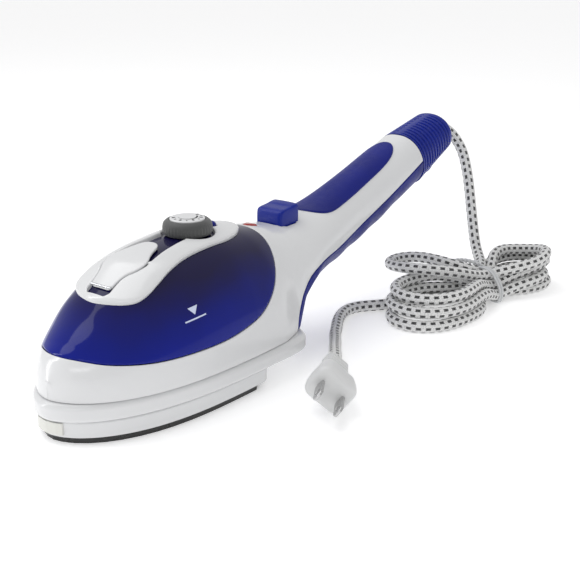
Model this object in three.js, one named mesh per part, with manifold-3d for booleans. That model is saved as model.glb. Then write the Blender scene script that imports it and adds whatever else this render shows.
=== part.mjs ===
// Hand-held garment steamer with an iron-shaped head, a ribbed cap and a mains cord.
// Millimetres. +Z is up, the nose points to -Y and the handle to +Y, and X = 0 is the
// plane of symmetry. Stations are distances from the nose, so y = station - LENGTH / 2.
import * as THREE from 'three';
import { mergeVertices } from 'three/addons/utils/BufferGeometryUtils.js';
import Module from 'manifold-3d';

const wasm = await Module();
wasm.setup();

// ---- driving dimensions ---------------------------------------------------------
const LENGTH = 347; // nose to the end of the cap
const BASE_LENGTH = 159; // nose to heel of the flange
const BASE_WIDTH = 86.8;
const BASE_WIDEST = 120; // station where the straight sides begin
const GAP = 0.3; // clearance between neighbouring pieces
const SOLEPLATE_TOP = 3;
const SKIRT_TOP = 12;
const FLANGE_TOP = 21;
const WALL = 2.4; // wall of the moulded shells
const HEEL_OF_SOLE = 121; // station where soleplate and skirt end
const DIAL_STATION = 101;
const DIAL_RADIUS = 13;
const POINTER_STATION = 118.4; // the fixed pointer behind the dial
const POINTER_RADIUS = 2.3;
const BUTTON_STATION = 175;
const HINGE_STATION = 40;
const HANDLE_SLOPE = THREE.MathUtils.degToRad(18);
const JOINT_STATION = 303; // where the handle meets its end cap
const JOINT_HEIGHT = 85;
const CAP_LENGTH = 41;
const CORD_DIAMETER = 7;

const model = new THREE.Group();
const frame = new THREE.Group();
frame.position.y = -LENGTH / 2;
model.add(frame);

// ---- materials ------------------------------------------------------------------
function material(color, roughness, metalness = 0, opacity = 1) {
  return new THREE.MeshStandardMaterial({
    color,
    roughness,
    metalness,
    opacity,
    transparent: opacity < 1,
  });
}

const white = material(0xf1f1ef, 0.25);
const blueTank = material(0x06128a, 0.15, 0, 0.9);
const blueSoft = material(0x101a78, 0.45);
const blueGloss = material(0x0a2aa0, 0.25);
const greySoft = material(0x55575b, 0.55);
const red = material(0xb3221c, 0.2);
const blackSole = material(0x1b1b1d, 0.35, 0.3);
const aluminium = material(0xb8bbc0, 0.4, 0.9);
const steel = material(0xc8ccd2, 0.25, 1);
const rubber = material(0x2b2c30, 0.8);
const nylon = material(0xd9d9d2, 0.5);
const braid = material(0xe8e8e6, 0.9);

function add(name, geometry, surface, parent = frame) {
  const mesh = new THREE.Mesh(geometry, surface);
  mesh.name = name;
  parent.add(mesh);
  return mesh;
}

// ---- joining and cutting --------------------------------------------------------
function solid(geometry) {
  let plain = geometry.index ? geometry.toNonIndexed() : geometry.clone();
  plain.deleteAttribute('normal');
  plain.deleteAttribute('uv');
  plain = mergeVertices(plain, 1e-4);
  return new wasm.Manifold(
    new wasm.Mesh({
      numProp: 3,
      vertProperties: new Float32Array(plain.attributes.position.array),
      triVerts: new Uint32Array(plain.index.array),
    }),
  );
}

function geometryOf(manifold) {
  const mesh = manifold.getMesh();
  const geometry = new THREE.BufferGeometry();
  geometry.setAttribute('position', new THREE.BufferAttribute(mesh.vertProperties, 3));
  geometry.setIndex(new THREE.BufferAttribute(mesh.triVerts, 1));
  geometry.computeVertexNormals();
  return geometry;
}

// ---- primitive shapes as solids -------------------------------------------------
function boxSolid(width, depth, height, x, y, z) {
  return solid(new THREE.BoxGeometry(width, depth, height).translate(x, y, z));
}

function uprightCylinder(radius, low, high, x, y, sides = 20) {
  const geometry = new THREE.CylinderGeometry(radius, radius, high - low, sides);
  return geometry.rotateX(Math.PI / 2).translate(x, y, (low + high) / 2);
}

function crossCylinder(radius, length, y, z, sides = 12) {
  return new THREE.CylinderGeometry(radius, radius, length, sides)
    .rotateZ(Math.PI / 2)
    .translate(0, y, z);
}

// A plan outline lifted along Z.
function plate(points, low, high, holes = []) {
  const shape = new THREE.Shape(points);
  shape.holes = holes.map((hole) => new THREE.Path(hole));
  const geometry = new THREE.ExtrudeGeometry(shape, {
    depth: high - low,
    bevelEnabled: false,
    curveSegments: 6,
  });
  return geometry.translate(0, 0, low);
}

// A side outline of [station, height] points drawn out along X.
function sideBlock(points, halfWidth) {
  const shape = new THREE.Shape(points.map(([s, z]) => new THREE.Vector2(s, z)));
  const geometry = new THREE.ExtrudeGeometry(shape, { depth: 2 * halfWidth, bevelEnabled: false });
  // local x, y, z become station, height and width
  const axes = new THREE.Matrix4().makeBasis(
    new THREE.Vector3(0, 1, 0),
    new THREE.Vector3(0, 0, 1),
    new THREE.Vector3(1, 0, 0),
  );
  return geometry.translate(0, 0, -halfWidth).applyMatrix4(axes);
}

// A round bar along a curve.
function bar(points, diameter, sides, steps) {
  const curve = new THREE.CatmullRomCurve3(points, false, 'centripetal');
  const section = new THREE.Shape();
  for (let i = 0; i < sides; i += 1) {
    const angle = (i / sides) * 2 * Math.PI;
    const x = (Math.cos(angle) * diameter) / 2;
    const y = (Math.sin(angle) * diameter) / 2;
    if (i === 0) section.moveTo(x, y);
    else section.lineTo(x, y);
  }
  section.closePath();
  return new THREE.ExtrudeGeometry(section, { steps, extrudePath: curve, bevelEnabled: false });
}

// ---- smooth curves through a few control values ---------------------------------
// Piecewise cubic without overshoot.
function curveThrough(points) {
  const xs = points.map((p) => p[0]);
  const ys = points.map((p) => p[1]);
  const n = xs.length;
  const slope = [];
  for (let i = 0; i < n - 1; i += 1) slope.push((ys[i + 1] - ys[i]) / (xs[i + 1] - xs[i]));
  const tangent = [slope[0]];
  for (let i = 1; i < n - 1; i += 1) {
    const a = slope[i - 1];
    const b = slope[i];
    tangent.push(a * b <= 0 ? 0 : (2 * a * b) / (a + b));
  }
  tangent.push(slope[n - 2]);
  return (x) => {
    const at = Math.min(Math.max(x, xs[0]), xs[n - 1]);
    let i = 0;
    while (i < n - 2 && at > xs[i + 1]) i += 1;
    const h = xs[i + 1] - xs[i];
    const t = (at - xs[i]) / h;
    const t2 = t * t;
    const t3 = t2 * t;
    return (
      (2 * t3 - 3 * t2 + 1) * ys[i] +
      (t3 - 2 * t2 + t) * h * tangent[i] +
      (3 * t2 - 2 * t3) * ys[i + 1] +
      (t3 - t2) * h * tangent[i + 1]
    );
  };
}

// ---- base outline ---------------------------------------------------------------
const NOSE_POWER = 3;
const SIDE_POWER = 1.8;
const HEEL_POWER = 6;
const HEEL_SIDE_POWER = 2.4;

// Half width of the flange at a station, for a base that ends at the given station.
function baseHalfWidth(station, end = BASE_LENGTH, widest = BASE_WIDEST) {
  const nose = 1 - Math.min(station / widest, 1);
  const heel = Math.max((station - widest) / (end - widest), 0);
  const front = (1 - nose ** NOSE_POWER) ** (1 / SIDE_POWER);
  const back = Math.max(1 - heel ** HEEL_POWER, 0) ** (1 / HEEL_SIDE_POWER);
  return (BASE_WIDTH / 2) * Math.min(front, back);
}

// The plan outline drawn in by a distance, from the nose along +X and back along -X.
function baseOutline(inset, end = BASE_LENGTH, steps = 18) {
  const widest = Math.min(BASE_WIDEST, end - 14);
  const narrowing = 1 - (2 * inset) / BASE_WIDTH;
  const shortening = 1 - (2 * inset) / end;
  const side = [];
  for (let i = 0; i <= steps; i += 1) {
    const station = (end / 2) * (1 - Math.cos((i / steps) * Math.PI));
    const halfWidth = baseHalfWidth(station, end, widest) * narrowing;
    side.push(new THREE.Vector2(halfWidth, inset + station * shortening));
  }
  return [...side, ...side.slice(1, -1).reverse().map((p) => new THREE.Vector2(-p.x, p.y))];
}

// ---- the body and handle as one lofted form -------------------------------------
const topLine = curveThrough([
  [4, 30], [8, 39.5], [16, 46], [26, 53.5], [38, 64], [56, 74.2], [74, 78], [101, 80],
  [127, 77.6], [150, 74], [169, 71.2], [196, 72.6], [242, 84.5], [286, 98], [320, 109.6],
]);
const underLine = curveThrough([
  [150, FLANGE_TOP], [155, 27], [161, 32.5], [182, 33.5], [207, 36], [234, 41.5],
  [257, 49], [290, 62.5], [320, 74],
]);
const halfWidthLine = curveThrough([
  [109, 42.3], [128, 41.6], [147, 36.5], [162, 31.6], [177, 27.6], [196, 23],
  [242, 16.6], [302, 17.3], [320, 17.3],
]);
const BODY_NOSE = 4;
const OPEN_BOTTOM = 12; // how far an open-bottomed form reaches below the flange

function bodyHalfWidth(station) {
  if (station > 109) return halfWidthLine(station);
  const nose = 1 - (station - BODY_NOSE + 0.6) / (109 - BODY_NOSE);
  return 42.3 * (1 - Math.max(nose, 0) ** NOSE_POWER) ** (1 / SIDE_POWER);
}

// The closed section at a station, moved out by a distance (in when negative).
function bodySection(station, offset, openBottom, count) {
  const blend = THREE.MathUtils.smoothstep(station, 142, 202);
  const top = topLine(station);
  const under = underLine(station);
  const middle = under + (blend * (top - under)) / 2;
  const width = Math.max(bodyHalfWidth(station) + offset, 0.8);
  const rise = top - middle + offset;
  let drop = middle - under + offset * Math.min(blend * 4, 1);
  if (openBottom) drop += OPEN_BOTTOM * (1 - THREE.MathUtils.smoothstep(station, 148, 152));
  const squareness = THREE.MathUtils.lerp(2.2, 2.4, THREE.MathUtils.smoothstep(station, 10, 60));
  const crown = THREE.MathUtils.lerp(3, 2, THREE.MathUtils.smoothstep(station, 10, 60));
  const points = [];
  for (let i = 0; i < count; i += 1) {
    const angle = (i / count) * 2 * Math.PI;
    const c = Math.cos(angle);
    const s = Math.sin(angle);
    const x = width * Math.sign(c) * Math.abs(c) ** (2 / squareness);
    const height = Math.sign(s) * Math.abs(s) ** (2 / crown);
    points.push(new THREE.Vector3(x, station, middle + height * (s > 0 ? rise : drop)));
  }
  return points;
}

// Joins closed rings of equal count into one closed solid.
function loft(rings) {
  const count = rings[0].length;
  const positions = rings.flat().flatMap((p) => [p.x, p.y, p.z]);
  const indices = [];
  for (let r = 0; r < rings.length - 1; r += 1) {
    for (let i = 0; i < count; i += 1) {
      const a = r * count + i;
      const b = r * count + ((i + 1) % count);
      indices.push(a, b, a + count, b, b + count, a + count);
    }
  }
  for (const [ring, flip] of [[0, true], [rings.length - 1, false]]) {
    const centre = positions.length / 3;
    const mean = rings[ring].reduce((sum, p) => sum.add(p), new THREE.Vector3());
    mean.divideScalar(count);
    positions.push(mean.x, mean.y, mean.z);
    for (let i = 0; i < count; i += 1) {
      const a = ring * count + i;
      const b = ring * count + ((i + 1) % count);
      if (flip) indices.push(centre, b, a);
      else indices.push(centre, a, b);
    }
  }
  const geometry = new THREE.BufferGeometry();
  geometry.setAttribute('position', new THREE.Float32BufferAttribute(positions, 3));
  geometry.setIndex(indices);
  return solid(turnedOut(geometry));
}

// Turns every face round when the solid is inside out.
function turnedOut(geometry) {
  const p = geometry.attributes.position;
  const index = geometry.index.array;
  let volume = 0;
  const a = new THREE.Vector3();
  const b = new THREE.Vector3();
  const c = new THREE.Vector3();
  for (let i = 0; i < index.length; i += 3) {
    a.fromBufferAttribute(p, index[i]);
    b.fromBufferAttribute(p, index[i + 1]);
    c.fromBufferAttribute(p, index[i + 2]);
    volume += a.dot(b.cross(c));
  }
  if (volume < 0) {
    for (let i = 0; i < index.length; i += 3) {
      [index[i + 1], index[i + 2]] = [index[i + 2], index[i + 1]];
    }
  }
  return geometry;
}

const SECTION_POINTS = 28;
const BODY_STATIONS = [
  4, 5, 6.5, 9, 13, 19, 28, 38, 50, 62, 75, 90, 105, 120, 134, 145, 151, 156, 162, 172, 186,
  204, 226, 250, 275, 300, 318,
];

function bodyForm(offset = 0, openBottom = false, from = 4, to = 318) {
  const inside = BODY_STATIONS.filter((s) => s > from + 0.4 && s < to - 0.4);
  const stations = [from, ...inside, to];
  return loft(stations.map((s) => bodySection(s, offset, openBottom, SECTION_POINTS)));
}

// Everything on the cap's side of the slanted joint between handle and cap.
function beyondJoint(shift) {
  const block = new THREE.BoxGeometry(80, 80, 160).translate(0, 40, 0);
  block.rotateX(HANDLE_SLOPE);
  const y = JOINT_STATION + shift * Math.cos(HANDLE_SLOPE);
  return solid(block.translate(0, y, JOINT_HEIGHT + shift * Math.sin(HANDLE_SLOPE)));
}

// ---- base: soleplate, heater and rings ------------------------------------------
const SKIRT_INSET = 2.3;
const SOLE_INSET = 4.8;

function roundHole(x, y, radius, sides = 12) {
  return Array.from({ length: sides }, (_, i) => {
    const angle = (i / sides) * 2 * Math.PI;
    return new THREE.Vector2(x + radius * Math.cos(angle), y + radius * Math.sin(angle));
  });
}

function steamVents() {
  const vents = [];
  for (const station of [30, 44, 58, 72]) {
    const spread = baseHalfWidth(station) * 0.5;
    for (const side of [-1, 1]) vents.push(roundHole(side * spread, station, 1.6, 8));
  }
  vents.push(roundHole(0, 22, 1.6, 8));
  return vents;
}

add('soleplate', plate(baseOutline(SOLE_INSET, HEEL_OF_SOLE), 0, SOLEPLATE_TOP, steamVents()), blackSole);
add('skirt_ring', plate(
  baseOutline(SKIRT_INSET, HEEL_OF_SOLE + 2),
  SOLEPLATE_TOP + GAP,
  SKIRT_TOP - GAP,
  [baseOutline(SKIRT_INSET + WALL, HEEL_OF_SOLE + 2)],
), white);

const heaterPath = [
  [12, 98], [17, 78], [17, 56], [12, 38], [0, 29], [-12, 38], [-17, 56], [-17, 78], [-12, 98],
].map(([x, y]) => new THREE.Vector3(x, y, 6.9));
add('heating_element', bar(heaterPath, 6.4, 8, 20), steel);
add('steam_chamber_cover', plate(baseOutline(11, HEEL_OF_SOLE - 6), 10.8, 12.8, [
  roundHole(0, BUTTON_STATION - 105, 2.6),
]), aluminium);
add('thermostat', uprightCylinder(9, 13.1, 22, 0, DIAL_STATION, 20), steel);
add('thermal_fuse', crossCylinder(2.4, 20, 52, 15.6, 10), nylon);

function flange() {
  const upper = solid(plate(baseOutline(0), SKIRT_TOP, FLANGE_TOP - GAP));
  const opening = solid(plate(baseOutline(8, BASE_LENGTH), SKIRT_TOP + 2.4, FLANGE_TOP + 5));
  const window = solid(plate(baseOutline(9, HEEL_OF_SOLE), SKIRT_TOP - 5, FLANGE_TOP));
  return geometryOf(upper.subtract(opening).subtract(window));
}

add('base_flange', flange(), white);

const CATCH_WIDTH = 17;
add('front_catch', geometryOf(
  solid(plate(baseOutline(SKIRT_INSET - 1.2, HEEL_OF_SOLE + 2), 5, SKIRT_TOP - 1))
    .subtract(solid(plate(baseOutline(SKIRT_INSET - GAP, HEEL_OF_SOLE + 2), 0, SKIRT_TOP + 4)))
    .intersect(boxSolid(CATCH_WIDTH, 40, 30, 0, 10, 10)),
), nylon);

// ---- shell regions --------------------------------------------------------------
// Side outline of the water tank: its lower edge from the nose round to the top behind.
const TANK_EDGE = [
  [-6, 43], [10, 41.4], [20, 38.8], [32, 37], [46, 35.8], [66, 35.4], [86, 36], [102, 38.4],
  [114, 42], [124, 48.5], [132, 56.5], [138, 64], [142, 71], [144.5, 80],
];

// The lower edge of the white handle shell: below it lies the soft under grip.
const GRIP_EDGE = [
  [147, 10], [148, 25], [152, 32.8], [157.5, 39.2], [166, 44.3], [181, 48.2], [205, 50.8],
  [228, 55.6], [258, 66.4], [282, 76.6], [325, 96],
];

function raised(edge, by) {
  return edge.map(([s, z]) => [s, z + by]);
}

function tankBlock(shrink) {
  const edge = TANK_EDGE.map(([s, z], i) => {
    const before = TANK_EDGE[Math.max(i - 1, 0)];
    const after = TANK_EDGE[Math.min(i + 1, TANK_EDGE.length - 1)];
    const along = Math.hypot(after[0] - before[0], after[1] - before[1]);
    const nx = -(after[1] - before[1]) / along;
    const nz = (after[0] - before[0]) / along;
    return [s + nx * shrink, z + nz * shrink];
  });
  return solid(sideBlock([...edge, [144.5 - shrink, 120], [-6, 120]], 60));
}

function gripBlock(shift) {
  return solid(sideBlock([...raised(GRIP_EDGE, shift), [325, -20], [147 - shift, -20]], 60));
}

const outerForm = bodyForm(0);
const innerForm = bodyForm(-WALL, true, BODY_NOSE + WALL, 317);

// Filler mouth and the sleeve of the dial pass through the top of the tank.
const MOUTH_STATION = 58;
const MOUTH_RADIUS = 8;
const SLEEVE_RADIUS = 6;
const SLEEVE_BORE = 4.4;
const mouth = solid(uprightCylinder(MOUTH_RADIUS, 55, 110, 0, MOUTH_STATION));
const sleeveHole = solid(uprightCylinder(SLEEVE_RADIUS + GAP, 20, 110, 0, DIAL_STATION));

function waterTank() {
  const outside = outerForm.intersect(tankBlock(GAP));
  const hollow = bodyForm(-WALL, true, BODY_NOSE + WALL + 1, 317).intersect(tankBlock(WALL + GAP));
  return outside.subtract(hollow).subtract(mouth).subtract(sleeveHole);
}

add('water_tank', geometryOf(waterTank()), blueTank);

const BUTTON_WIDTH = 18;
const BUTTON_LENGTH = 17;
const BUTTON_CLEARANCE = 0.5;
const buttonWell = boxSolid(
  BUTTON_WIDTH + 2 * BUTTON_CLEARANCE,
  BUTTON_LENGTH + 2 * BUTTON_CLEARANCE,
  60,
  0,
  BUTTON_STATION,
  86,
);
const LENS_STATION = 151;
const lensWell = boxSolid(9, 8, 30, 0, LENS_STATION, 76);

function upperShell() {
  return outerForm
    .subtract(innerForm)
    .subtract(tankBlock(0))
    .subtract(gripBlock(0))
    .subtract(beyondJoint(-GAP))
    .subtract(buttonWell)
    .subtract(lensWell);
}

add('housing', geometryOf(upperShell()), white);
add('under_grip', geometryOf(
  outerForm.subtract(innerForm).intersect(gripBlock(-GAP)).subtract(beyondJoint(-GAP)),
), blueSoft);

// ---- skins on top: grip pad, saddle, filler flap --------------------------------
// A plan outline given by [station, half width] on one side.
function planBlock(halves, low = 45, high = 140) {
  const right = halves.map(([s, w]) => new THREE.Vector2(w, s));
  const left = halves.filter(([, w]) => w > 0).reverse().map(([s, w]) => new THREE.Vector2(-w, s));
  return solid(plate([...right, ...left], low, high));
}

const PAD_HEIGHT = 0.9; // the pad stands this far above the shell
const PAD_HALVES = [
  [195.5, 0], [196.5, 5], [199, 9.4], [204, 12.6], [211, 13.6], [225, 12.7], [245, 11.8],
  [265, 11.4], [276, 10.2], [282, 7.6], [285.5, 4], [286.5, 0],
];

function skin(from, to, low, high) {
  return bodyForm(high, false, from, to).subtract(bodyForm(low, false, from - 3, to + 3));
}

add('grip_pad', geometryOf(
  skin(192, 290, GAP, PAD_HEIGHT)
    .intersect(planBlock(PAD_HALVES))
    .intersect(boxSolid(60, 400, 60, 0, 200, 98)),
), blueSoft);

const SADDLE_HALVES = [
  [33.5, 0], [34.2, 6], [35.8, 11.6], [38.5, 16.5], [43, 20.6], [49, 22.2], [56, 21.8],
  [66, 20], [80, 18], [97, 17.8], [110, 17.4], [120, 15.2], [128, 11.4], [133, 6.4], [135, 0],
];
const FLAP_HALVES = [
  [HINGE_STATION, 0], [HINGE_STATION, 6.4], [44, 6.8], [48, 8], [52, 10.6], [56.5, 11.6],
  [61, 10.8], [65, 8.4], [69, 6.8], [73, 5.6], [75.6, 3.4], [76.4, 0],
];
const RECESS_HALVES = [
  [61, 0], [61, 11.6], [74, 9.6], [84, 8.6], [92, 8.4], [92, 0],
];
const SKIN_HEIGHT = 2.4; // saddle and flap stand this far above the tank
const saddleTop = bodyForm(SKIN_HEIGHT, false, 24, 145);

function flapHoleBlock() {
  return planBlock([
    [36.2, 0], [36.2, 7.2], [44, 7.3], [48, 8.6], [52, 11.2], [56.5, 12.2], [61, 12.2], [61, 0],
  ]);
}

function saddle() {
  return saddleTop
    .subtract(bodyForm(GAP, false, 20, 150))
    .intersect(planBlock(SADDLE_HALVES))
    .subtract(flapHoleBlock())
    .subtract(planBlock(RECESS_HALVES))
    .subtract(solid(uprightCylinder(DIAL_RADIUS + 2 * GAP, 20, 110, 0, DIAL_STATION, 32)))
    .subtract(solid(uprightCylinder(POINTER_RADIUS + GAP, 20, 110, 0, POINTER_STATION, 10)));
}

add('tank_saddle', geometryOf(saddle()), white);

const HINGE_HEIGHT = topLine(HINGE_STATION) + 2;
const PIN_RADIUS = 0.6;
const BARREL_RADIUS = 1.4;
const LEAF_RELIEF = 1; // the leaf is thinner below its hinge, so that it swings clear

function flap() {
  const leaf = saddleTop
    .subtract(bodyForm(GAP, false, 20, 150))
    .intersect(planBlock(FLAP_HALVES))
    .subtract(bodyForm(LEAF_RELIEF, false, 20, HINGE_STATION + 5));
  const barrel = solid(crossCylinder(BARREL_RADIUS, 12.8, HINGE_STATION, HINGE_HEIGHT));
  const bore = solid(crossCylinder(PIN_RADIUS + GAP, 40, HINGE_STATION, HINGE_HEIGHT));
  return leaf.add(barrel).subtract(bore);
}

add('filler_flap', geometryOf(flap()), white);
add('flap_hinge_pin', crossCylinder(PIN_RADIUS, 13.8, HINGE_STATION, HINGE_HEIGHT), steel);

// The plug under the flap closes the filler mouth.
const PLUG_LOW = topLine(MOUTH_STATION) - 3.4;
add('filler_seal', geometryOf(
  solid(uprightCylinder(6, PLUG_LOW, 90, 0, MOUTH_STATION)).intersect(bodyForm(0, false, 30, 90)),
), rubber);

// ---- dial -----------------------------------------------------------------------
const DIAL_LOW = topLine(DIAL_STATION); // the knob sits in a round opening of the saddle
const DIAL_HIGH = DIAL_LOW + 7.8;
const DISC_RADIUS = 9.2;
const DISC_DEPTH = 1.1;

// A turned piece: [radius, height] pairs that start and end on the axis.
function turned(profile, sides, x, y) {
  const points = profile.map(([r, z]) => new THREE.Vector2(r, z));
  return new THREE.LatheGeometry(points, sides).rotateX(Math.PI / 2).translate(x, y, 0);
}

add('dial_knob', turned([
  [0, DIAL_LOW + 2], [10.4, DIAL_LOW + 2], [10.4, DIAL_LOW], [DIAL_RADIUS - 0.6, DIAL_LOW],
  [DIAL_RADIUS, DIAL_LOW + 1], [DIAL_RADIUS, DIAL_LOW + 4], [DIAL_RADIUS - 0.7, DIAL_LOW + 6.2],
  [DIAL_RADIUS - 2.4, DIAL_HIGH - 0.5], [DISC_RADIUS + GAP, DIAL_HIGH],
  [DISC_RADIUS + GAP, DIAL_HIGH - DISC_DEPTH - GAP], [0, DIAL_HIGH - DISC_DEPTH - GAP],
], 32, 0, DIAL_STATION), greySoft);
add('dial_cap', turned([
  [0, DIAL_HIGH - DISC_DEPTH], [DISC_RADIUS, DIAL_HIGH - DISC_DEPTH],
  [DISC_RADIUS, DIAL_HIGH + 0.1], [DISC_RADIUS - 0.6, DIAL_HIGH + 0.5], [0, DIAL_HIGH + 0.7],
], 32, 0, DIAL_STATION), white);
add('dial_shaft', uprightCylinder(3, 22.6, DIAL_LOW + 1.7, 0, DIAL_STATION, 12), nylon);
add('shaft_sleeve', geometryOf(
  solid(uprightCylinder(SLEEVE_RADIUS, 34, 80.6, 0, DIAL_STATION))
    .subtract(solid(uprightCylinder(SLEEVE_BORE, 20, 100, 0, DIAL_STATION))),
), nylon);
add('dial_pointer', geometryOf(
  solid(uprightCylinder(POINTER_RADIUS, 60, topLine(POINTER_STATION) + 4.2, 0, POINTER_STATION, 10))
    .subtract(bodyForm(GAP, false, 90, 140)),
), blueSoft);

// ---- steam button and pump ------------------------------------------------------
const STEM_RADIUS = 3;
const PUMP_LOW = 38;
const PUMP_HIGH = 54;
const BUTTON_FRONT = BUTTON_STATION - BUTTON_LENGTH / 2;
const BUTTON_BACK = BUTTON_STATION + BUTTON_LENGTH / 2;
const BUTTON_TOP = 80.8;

const buttonSide = [
  [BUTTON_FRONT, 65], [BUTTON_BACK, 65], [BUTTON_BACK, BUTTON_TOP - 0.6],
  [BUTTON_BACK - 0.8, BUTTON_TOP], [BUTTON_FRONT + 1.4, BUTTON_TOP - 1.8],
  [BUTTON_FRONT, BUTTON_TOP - 3.2],
];
add('steam_button', geometryOf(
  solid(sideBlock(buttonSide, BUTTON_WIDTH / 2))
    .add(solid(uprightCylinder(STEM_RADIUS, 51, 66, 0, BUTTON_STATION, 12))),
), blueGloss);
add('pump_cylinder', geometryOf(
  solid(uprightCylinder(6.4, PUMP_LOW, PUMP_HIGH, 0, BUTTON_STATION, 16))
    .subtract(solid(uprightCylinder(4.8, PUMP_LOW + 1.6, 70, 0, BUTTON_STATION, 16))),
), nylon);
add('pump_piston', uprightCylinder(4.4, 45, 50.7, 0, BUTTON_STATION, 16), rubber);

function helix(radius, low, high, turns, y) {
  const points = [];
  const count = turns * 8;
  for (let i = 0; i <= count; i += 1) {
    const angle = (i / 8) * 2 * Math.PI;
    const z = low + ((high - low) * i) / count;
    points.push(new THREE.Vector3(radius * Math.cos(angle), y + radius * Math.sin(angle), z));
  }
  return points;
}

add('button_spring', bar(helix(4.6, PUMP_HIGH + 0.7, 64.1, 3, BUTTON_STATION), 0.8, 5, 30), steel);
add('suction_tube', bar([
  new THREE.Vector3(0, 142, 54), new THREE.Vector3(0, 154, 50.6), new THREE.Vector3(0, 168.1, 49),
], 3.2, 8, 8), nylon);
add('delivery_tube', bar([
  new THREE.Vector3(0, BUTTON_STATION - 105, 13.4), new THREE.Vector3(0, 88, 24),
  new THREE.Vector3(12, 110, 27), new THREE.Vector3(10, 140, 32),
  new THREE.Vector3(5, 156, 41), new THREE.Vector3(0, BUTTON_STATION - 6.8, 42.4),
], 3.2, 8, 20), nylon);

// ---- indicator lamp -------------------------------------------------------------
const lensPlan = [
  [LENS_STATION - 3.6, 0], [LENS_STATION - 2.4, 1.3], [LENS_STATION, 3],
  [LENS_STATION + 2, 3.6], [LENS_STATION + 3.6, 3.6], [LENS_STATION + 3.6, 0],
];
add('indicator_lens', geometryOf(
  bodyForm(0.6, false, 130, 170).intersect(planBlock(lensPlan, topLine(LENS_STATION) - 3)),
), red);
add('indicator_lamp', uprightCylinder(2.2, 60, 69.5, 0, LENS_STATION, 10), red);

// ---- end cap --------------------------------------------------------------------
// Built along its own axis: local +Y runs out of the handle, local origin at the joint.
const cap = new THREE.Group();
cap.position.set(0, JOINT_STATION, JOINT_HEIGHT);
cap.rotation.x = HANDLE_SLOPE;
frame.add(cap);

const CAP_WIDE = 17.2;
const CAP_NARROW = 15.2;
const CAP_TALL = 18;
const CAP_TALL_END = 13.6;
const RIB_COUNT = 9;
const RIB_DEPTH = 0.8;
const LUG_ALONG = 25; // centre of the round lug under the cap
const LUG_HEIGHT = -11;
const LUG_RADIUS = 11;
const LUG_WIDTH = 7;

function capRing(along, inset, count = 22) {
  const t = along / CAP_LENGTH;
  const wide = THREE.MathUtils.lerp(CAP_WIDE, CAP_NARROW, t) - inset;
  const tall = THREE.MathUtils.lerp(CAP_TALL, CAP_TALL_END, t) - inset;
  return Array.from({ length: count }, (_, i) => {
    const angle = (i / count) * 2 * Math.PI;
    const c = Math.cos(angle);
    const s = Math.sin(angle);
    const x = wide * Math.sign(c) * Math.abs(c) ** 0.92;
    return new THREE.Vector3(x, along, tall * Math.sign(s) * Math.abs(s) ** 0.92);
  });
}

function endCap() {
  const rings = [capRing(GAP, 0)];
  const pitch = (CAP_LENGTH - 8) / RIB_COUNT;
  for (let i = 0; i < RIB_COUNT; i += 1) {
    const start = 2 + i * pitch;
    rings.push(capRing(start, 0), capRing(start + pitch * 0.3, RIB_DEPTH));
    rings.push(capRing(start + pitch * 0.6, 0));
  }
  rings.push(capRing(CAP_LENGTH - 3, 0), capRing(CAP_LENGTH - 0.8, 0.9), capRing(CAP_LENGTH, 2.6));
  const hollow = loft([capRing(-5, WALL), capRing(CAP_LENGTH - 2.6, WALL)]);
  const outlet = solid(new THREE.CylinderGeometry(5.6, 5.6, 20, 16).translate(0, CAP_LENGTH, 0));
  const lug = solid(crossCylinder(LUG_RADIUS, LUG_WIDTH, LUG_ALONG, LUG_HEIGHT, 20));
  return loft(rings).add(lug).subtract(hollow).subtract(outlet)
    .subtract(solid(new THREE.BoxGeometry(60, 20, 80).translate(0, GAP - 10, 0)));
}

add('end_cap', geometryOf(endCap()), blueGloss, cap);
const GLAND_PROUD = 1.2;
add('cord_gland', new THREE.LatheGeometry([
  [CORD_DIAMETER / 2 + GAP, -20], [4.8, -20], [5.3, -7], [7.6, -7], [7.6, -3.2], [5.3, -3.2],
  [5.3, GLAND_PROUD - 0.6], [4.7, GLAND_PROUD], [CORD_DIAMETER / 2 + GAP, GLAND_PROUD],
  [CORD_DIAMETER / 2 + GAP, -20],
].map(([r, y]) => new THREE.Vector2(r, y)), 16).translate(0, CAP_LENGTH, 0), rubber, cap);
add('cord_clamp', new THREE.BoxGeometry(20, 7, 4).translate(0, 16, 5.9), nylon, cap);
add('terminal_block', new THREE.BoxGeometry(14, 18, 8).translate(0, -18, 0), nylon, cap);

// ---- mains cord -----------------------------------------------------------------
// The cord hangs from the cap, lies in a tied hank and leads on to its plug.
const CORD_REST = CORD_DIAMETER / 2 + 0.2; // height of the axis where the cord lies flat
const exitAlong = CAP_LENGTH + GLAND_PROUD + GAP;
const exitPoint = new THREE.Vector3(
  0,
  JOINT_STATION + exitAlong * Math.cos(HANDLE_SLOPE),
  JOINT_HEIGHT + exitAlong * Math.sin(HANDLE_SLOPE),
);

// Route of the drop as [x, station, height], from the gland down to the side of the hank.
const DROP_ROUTE = [
  [0.5, 348.7, 98.9], [1.8, 355, 97.3], [4.2, 360, 93.4], [7.4, 363, 87.7],
  [10.6, 363.6, 82.3], [14.4, 361.6, 76], [20.4, 356.4, 65.8], [25.4, 351.2, 55.6],
  [30, 346.2, 45.8], [34.2, 341.9, 36.4], [38.2, 338.3, 27.4], [42.8, 335.2, 18.6],
];

// Route of the lead as [x, station, height], from the hank to the plug.
const LEAD_ROUTE = [
  [19.8, 246.8, CORD_REST], [15.4, 243.7, CORD_REST], [12, 239.4, CORD_REST],
  [10.3, 234, CORD_REST], [10.4, 228.2, CORD_REST], [12.9, 219.8, CORD_REST],
  [17.4, 210.6, CORD_REST], [23.6, 200.8, CORD_REST], [30, 190.4, CORD_REST + 0.2],
  [38.4, 179, CORD_REST + 1.4], [47.8, 165.4, CORD_REST + 4.4], [57.6, 152, CORD_REST + 7.6],
  [67.6, 138.3, 13],
];

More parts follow.
